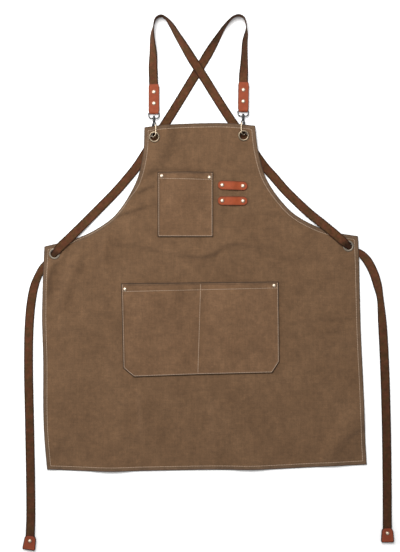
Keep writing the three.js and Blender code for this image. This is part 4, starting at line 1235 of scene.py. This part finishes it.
def make_grommet(name, x, y):
    """Brass ring: its rounded profile carried round the hole's axis, at the level of the cloth there."""
    ring = turned(rounded_corners(GROMMET_PROFILE, times=2), GROMMET_SIDES, closed=True)
    height = grommet_lift(x, y) + GROMMET_MIDDLE * CANVAS
    shape = placed(toned(ring, GROMMET_TONE[name]), np.eye(3), (x, y, height))
    piece(f"eyelet_{name}", shape, GROMMET_FINISH[name], [f"grommet_{name}"])


# Leather

def end_distance(path, half_width, section):
    """Distance in from the nearest edge of a strip: from its long sides or from its ends."""
    run = run_length(path)
    ends = np.minimum(run, run[-1] - run)[:, None]
    return np.minimum(np.atleast_1d(half_width)[:, None] - np.abs(section[..., 0]), ends)


def strip(path, across, half_width, thick):
    """Leather strip: a flat bar with rounded edges carried along a path, marked with its distance from the
    edge."""
    section = strip_section(half_width, np.full(len(path), thick / 2), LEATHER_ROUND * thick)
    return carried(path, across, section, edge=end_distance(path, half_width, section))


def make_tool_loop(name, x, y, turn):
    """Arch between two riveted ends, whose width ends in half circles."""
    half, end = LOOP_LENGTH / 2, LOOP_WIDTH / 2
    bend = np.linspace(0, 1, LOOP_END_STATIONS)
    stops = half - end + end * np.sin(bend * np.pi / 2)
    between = np.linspace(-(half - end), half - end, LOOP_STATIONS)[1:-1]
    across = np.concatenate([-stops[::-1], between, stops])
    outer = np.clip(np.abs(across) - (half - end), 0, None)
    width = np.sqrt(np.clip(end**2 - outer**2, LOOP_BLUNT, None))
    seat = panel_top(x, y)[0] + GAP
    height = seat + LEATHER / 2 + LOOP_RISE * (1 - smoothstep(np.abs(across), LOOP_LEVEL, LOOP_ARCH))
    shape = strip(np.column_stack([across, 0 * across, height]), (0, 1, 0), width, LEATHER)
    matrix = turn_matrix("Z", turn)
    piece(f"loop_{name}", placed(shape, matrix, (x, y, 0)), LOOP_FINISH, [f"tool_loop_{name}"])
    for side, along in (("left", -LOOP_RIVETS / 2), ("right", LOOP_RIVETS / 2)):
        rivet_x, rivet_y, _ = matrix @ (along, 0, 0) + (x, y, 0)
        make_rivet(f"tool_loop_{name}_{side}", rivet_x, rivet_y, seat + LEATHER)


def folded_path(length, room, bend, thick):
    """Middle line of leather folded over: one leaf, half round the bar at y = 0, and the other leaf back."""
    radius = bend + thick / 2
    level = room + thick / 2
    angle = np.radians(np.linspace(90, 270, FOLD_RINGS))
    fold = np.column_stack([radius * np.cos(angle), radius * np.sin(angle)])
    upper = [(length, level), (length - LEAF_END, level), (bend + FOLD_SETTLE, level)]
    lower = [(bend + FOLD_SETTLE, -level), (length - LEAF_END, -level), (length, -level)]
    path = evenly(np.vstack([upper, fold, lower]), LEATHER_STATIONS)
    return np.column_stack([0 * path[:, 0], path])


def make_tab(side, hook):
    """Leather folded round the ring's bar: it eases from the tongue's width at the fold to its full width,
    and narrows at the shoulders by a power of the share of their length."""
    wide, top, tongue = TAB_WIDTH / 2, TAB_TOP_WIDTH / 2, TAB_TONGUE / 2
    room = WEBBING / 2 + GAP
    path = folded_path(TAB_LENGTH, room, RING_WIRE + RING_CLEARANCE, LEATHER)
    shoulder = np.clip((path[:, 1] - TAB_LENGTH) / TAB_SHOULDER + 1, 0, 1)
    width = tongue + (wide - tongue) * smoothstep(path[:, 1] - TAB_TONGUE_END, *TAB_TONGUE_EASE)
    width = width - (wide - top) * shoulder**TAB_SHOULDER_POWER
    shape = strip(path, (1, 0, 0), width, LEATHER)
    matrix = turn_matrix("Z", hook.tab_turn)
    place = (hook.x, hook.y, FOLD_HEIGHT)
    piece(f"tab_{side}", placed(shape, matrix, place), TAB_FINISH, [f"leather_tab_{side}"])
    for end, along in zip(("lower", "upper"), TAB_RIVETS):
        x, y, _ = matrix @ (0, along, 0) + place
        make_rivet(f"leather_tab_{side}_{end}", x, y, FOLD_HEIGHT + room + LEATHER)


def make_tip(side, x, y, turn):
    """Leather folded round a strap's end: it widens from the foot of its round crown down to the fold, whose
    corners are cut to quarter ellipses."""
    bend = WEBBING / 2 + GAP
    path = folded_path(TIP_LENGTH, bend, bend, TIP_LEATHER)
    along = path[:, 1]
    shoulder = TIP_LENGTH - TIP_ROUND
    width = np.interp(along, [0, shoulder], [TIP_WIDTH / 2, TIP_TOP_WIDTH / 2])
    from_fold = along - along.min()
    corner = np.clip(1 - from_fold / TIP_CORNER, 0, 1)
    width = width - TIP_CORNER_CUT * (1 - np.sqrt(1 - corner**2))
    crown = np.clip((along - shoulder) / TIP_ROUND, 0, TIP_BLUNT)
    shape = strip(path, (1, 0, 0), width * np.sqrt(1 - crown**2), TIP_LEATHER)
    from_side = shape.marks["edge"].reshape(len(path), -1)
    shape.marks["edge"] = np.minimum(from_side, from_fold[:, None]).ravel()
    matrix = turn_matrix("Z", turn)
    place = (x, y, TIP_FOLD_HEIGHT)
    piece(f"tip_{side}", placed(shape, matrix, place), TIP_FINISH, [f"leather_tip_{side}"])
    rivet_x, rivet_y, _ = matrix @ (0, TIP_RIVET, 0) + place
    make_rivet(f"leather_tip_{side}", rivet_x, rivet_y, TIP_FOLD_HEIGHT + bend + TIP_LEATHER)


# Snap hooks

def along_hook(shape):
    """From standing on Z to lying along the hook, where u runs towards minus Y."""
    return placed(shape, turn_matrix("X", 90), (0, 0, 0))


def wire(path, radius, closed=False):
    """Round bar along a path of v and u in the hook's plane."""
    path = np.asarray(path, float)
    bar = np.column_stack([path[:, 0], -path[:, 1], 0 * path[:, 0]])
    return carried(bar, (0, 0, 1), round_section(np.broadcast_to(radius, len(bar)), WIRE_SIDES), closed)


def upright(radius, low, high):
    """Short round pin or cheek across the hook's plane at the hinge, with its edges eased."""
    inner = radius - PIN_EASE
    profile = [
        (PIN_CORE, low), (inner, low), (radius, low + PIN_EASE),
        (radius, high - PIN_EASE), (inner, high), (PIN_CORE, high),
    ]
    return placed(turned(profile, PIN_SIDES), np.eye(3), (HINGE_V, -HINGE_U, 0))


def hook_arm():
    """Arm, bend and nose in one wire that thins towards the nose, where its painted dark reflection fades
    out.
    """
    angle = np.radians(np.linspace(0, 180, NOSE_STATIONS))
    nose = np.column_stack([BEND_RADIUS * np.cos(angle), BEND_CENTRE + BEND_RADIUS * np.sin(angle)])
    path = evenly(smooth_curve(np.vstack([ARM_PATH, nose])), ARM_STATIONS)
    share = np.linspace(0, 1, len(path))
    radius = HOOK_WIRE + (NOSE_WIRE - HOOK_WIRE) * smoothstep(share, *ARM_THINS)
    arm = wire(path, radius * np.sqrt(1 - smoothstep(share, *ARM_ENDS) * ARM_END_CUT))
    # Painted dark reflection on the arm, fading out towards the nose
    tone = 1 - smoothstep(share, *ARM_FADE)
    return arm._replace(marks={"tone": np.repeat(tone, WIRE_SIDES)})


def flat_bar(start, end, half_width, low, high):
    """Flat bar with round ends between two places of v and u, across the plane from low to high."""
    start, end = np.asarray(start, float), np.asarray(end, float)
    length = np.linalg.norm(end - start) + 2 * half_width
    share = (1 - np.cos(np.linspace(0, np.pi, BAR_STATIONS))) / 2
    path = start + unit(end - start) * (share[:, None] * length - half_width)
    outer = np.clip(np.abs(share - 0.5) * length - (length / 2 - half_width), 0, half_width)
    width = np.sqrt(np.clip(half_width**2 - outer**2, BAR_BLUNT, None))
    bar = np.column_stack([path[:, 0], -path[:, 1], np.full(len(path), (low + high) / 2)])
    section = strip_section(width, np.full(len(path), (high - low) / 2), BAR_ROUND, columns=BAR_COLUMNS)
    across = np.cross([0.0, 0.0, 1.0], np.append((end - start) * (1, -1), 0))
    return carried(bar, across, section)


def make_hook(side, hook):
    """Ring, hook and gate. The ring is tilted so that it climbs from its bar to the grommet, and the tilt's
    sine is the climb over the length; the hook and gate are also twisted about the hook's length."""
    tilt = turn_matrix("X", -np.degrees(np.arcsin((HOOK_HEIGHT - FOLD_HEIGHT) / BEND_CENTRE)))
    plane = tilt @ turn_matrix("Y", -HOOK_TWIST if hook.inward > 0 else 180 + HOOK_TWIST)
    place = (hook.x, hook.y, FOLD_HEIGHT)
    ring = wire(rounded_corners(RING_PATH), RING_WIRE, closed=True)
    ring = joined(ring, along_hook(turned(BOSS_PROFILE, SWIVEL_SIDES, closed=True)))
    # The ring and its boss are toned 1: a painted dark reflection
    piece(f"ring_{side}", placed(toned(ring, 1), tilt, place), NICKEL_FINISH, [f"hook_ring_{side}"])
    cheek = KNUCKLE_HALF + GAP
    hinge, leg_end = (HINGE_V, HINGE_U), LEG_PATH[-1]
    fittings = joined(
        along_hook(turned(SWIVEL_PROFILE, SWIVEL_SIDES)),
        wire(smooth_curve(LEG_PATH), LEG_WIRE),
        flat_bar(leg_end, hinge, HINGE_EYE, cheek, FORK_HALF),
        flat_bar(leg_end, hinge, HINGE_EYE, -FORK_HALF, -cheek),
        upright(HINGE_PIN, -FORK_HALF - PIN_PROUD, FORK_HALF + PIN_PROUD),
    )
    # The swivel, leg and hinge are toned 1: a painted dark reflection
    body = joined(hook_arm(), toned(fittings, 1))
    piece(f"hook_{side}", placed(body, plane, place), NICKEL_FINISH, [f"hook_body_{side}"])
    gate = joined(
        flat_bar(hinge, (GATE_TIP_V, GATE_TIP_U - GATE_HALF), GATE_HALF, -KNUCKLE_HALF, KNUCKLE_HALF),
        upright(HINGE_EYE, -KNUCKLE_HALF, KNUCKLE_HALF),
    )
    # The gate is toned 1: a painted dark reflection
    gate = placed(toned(gate, 1), plane, place)
    piece(f"gate_{side}_lever", gate, NICKEL_FINISH, [f"hook_gate_{side}"], f"gate_{side}")


# Straps

def make_strap(side, rows):
    """Webbing along its route: the section turns from one face over its edge to the other face, and cups
    where it narrows to go through a grommet. Its middle is as high as the turned section needs to rest on
    its base."""
    rows = [row + STRAP_REST[len(row) - 2:] for row in rows]
    route = evenly(smooth_curve(rows), STRAP_STATIONS)
    x, y, base, turn, width = route.T
    turn = np.radians(np.clip(turn, 0, OVER))
    half = np.minimum(width, WEB) / 2
    height = np.clip(base, 0, None) + half * np.sin(turn) + WEBBING / 2 * np.abs(np.cos(turn))
    turn = turn * RAISED_EDGE[side]
    path = np.column_stack([x, y, height])
    along = unit(np.gradient(path, axis=0))
    left = unit(np.column_stack([-along[:, 1], along[:, 0], 0 * x]))
    up = np.cross(along, left)
    across = left * np.cos(turn)[:, None] + up * np.sin(turn)[:, None]
    section = strip_section(half, np.full(len(path), WEBBING / 2), WEB_ROUND, STRAP_COLUMNS)
    share = section[..., 0] / half[:, None]
    cup = CUP * ((WEB / 2 - half) * np.cos(turn))[:, None] * (1 - share**2)
    section[..., 1] += cup
    run = np.broadcast_to(run_length(path)[:, None], share.shape)
    # Painted shade: darker towards the free end and round the side grommet that the strap goes through
    hole_x, hole_y = GROMMETS[SIDE_HOLE[side]]
    hole = smoothstep(np.hypot(x - hole_x, y - hole_y), *HOLE_FADE[side])[:, None]
    shade = 1 - (1 - FREE_END_SHADE[side]) * smoothstep(run, *FREE_END_FADE)
    shade = shade * (HOLE_SHADE[side] + (1 - HOLE_SHADE[side]) * hole)
    weave = np.stack([share * WEB / 2, run, shade], axis=-1)
    shape = carried(path, across, section, weave=weave)
    nodes = [f"strap_{side}_{part}" for part in STRAP_PARTS]
    band = piece(f"webbing_{side}", shape, WEBBING_FINISH, nodes)


# Floor, light and camera

def look_at(thing, target):
    """Turns the thing so that its minus Z axis points at the target."""
    thing.rotation_euler = (Vector(target) - thing.location).to_track_quat("-Z", "Y").to_euler()


def make_light(name, place, size, power):
    """Round soft light that faces the middle of the apron."""
    light = bpy.data.lights.new(name, "AREA")
    light.shape = "DISK"
    light.size = size
    light.energy = power
    lamp = bpy.data.objects.new(name, light)
    lamp.location = place
    look_at(lamp, (0, 0, 0))
    bpy.context.scene.collection.objects.link(lamp)


def make_stage():
    """White floor just under the table's plane, a white sky that brightens with height, and two lights."""
    half = FLOOR_SIZE / 2
    mesh = bpy.data.meshes.new("floor")
    corners = [(-half, -half, 0), (half, -half, 0), (half, half, 0), (-half, half, 0)]
    mesh.from_pydata(corners, [], [(0, 1, 2, 3)])
    floor = bpy.data.objects.new("floor", mesh)
    finish, tree, shader = finish_nodes("white_floor")
    wired(tree, shader, {"Base Color": FLOOR_COLOUR, "Roughness": 0.9, "Specular IOR Level": 0.1})
    mesh.materials.append(finish)
    floor.location.z = -FLOOR_DROP
    bpy.context.scene.collection.objects.link(floor)

    world = bpy.data.worlds.new("white_room")
    world.use_nodes = True
    room = world.node_tree
    view = node(room, "ShaderNodeTexCoord").outputs["Generated"]
    up = node(room, "ShaderNodeSeparateXYZ", {0: view}).outputs["Z"]
    strength = scaled(room, up, 0, 1, SKY_LOW, SKY_HIGH)
    wired(room, room.nodes["Background"], {"Color": (1, 1, 1, 1), "Strength": strength})
    bpy.context.scene.world = world

    make_light("key", KEY_PLACE, KEY_SIZE, KEY_POWER)
    make_light("side", SIDE_PLACE, SIDE_SIZE, SIDE_POWER)


def make_camera():
    """Straight above the middle of the picture, at the distance that shows its height."""
    lens = bpy.data.cameras.new("camera")
    lens.lens = LENS
    lens.sensor_width = SENSOR
    camera = bpy.data.objects.new("camera", lens)
    camera.location = (*VIEW_CENTRE, VIEW_HEIGHT * LENS / SENSOR)
    bpy.context.scene.collection.objects.link(camera)
    bpy.context.scene.camera = camera
    bpy.context.scene.view_settings.view_transform = "Standard"


make_camera()
make_stage()
make_panel()
for pocket_name, pocket_shape in POCKETS.items():
    make_pocket(pocket_name, pocket_shape)
for loop_name, loop_place in TOOL_LOOPS.items():
    make_tool_loop(loop_name, *loop_place)
for ring_name, ring_place in GROMMETS.items():
    make_grommet(ring_name, *ring_place)
for strap_side, strap_rows in STRAPS.items():
    make_strap(strap_side, strap_rows)
for hook_side, hook_place in HOOKS.items():
    make_tab(hook_side, hook_place)
    make_hook(hook_side, hook_place)
for tip_side, tip_place in TIPS.items():
    make_tip(tip_side, *tip_place)
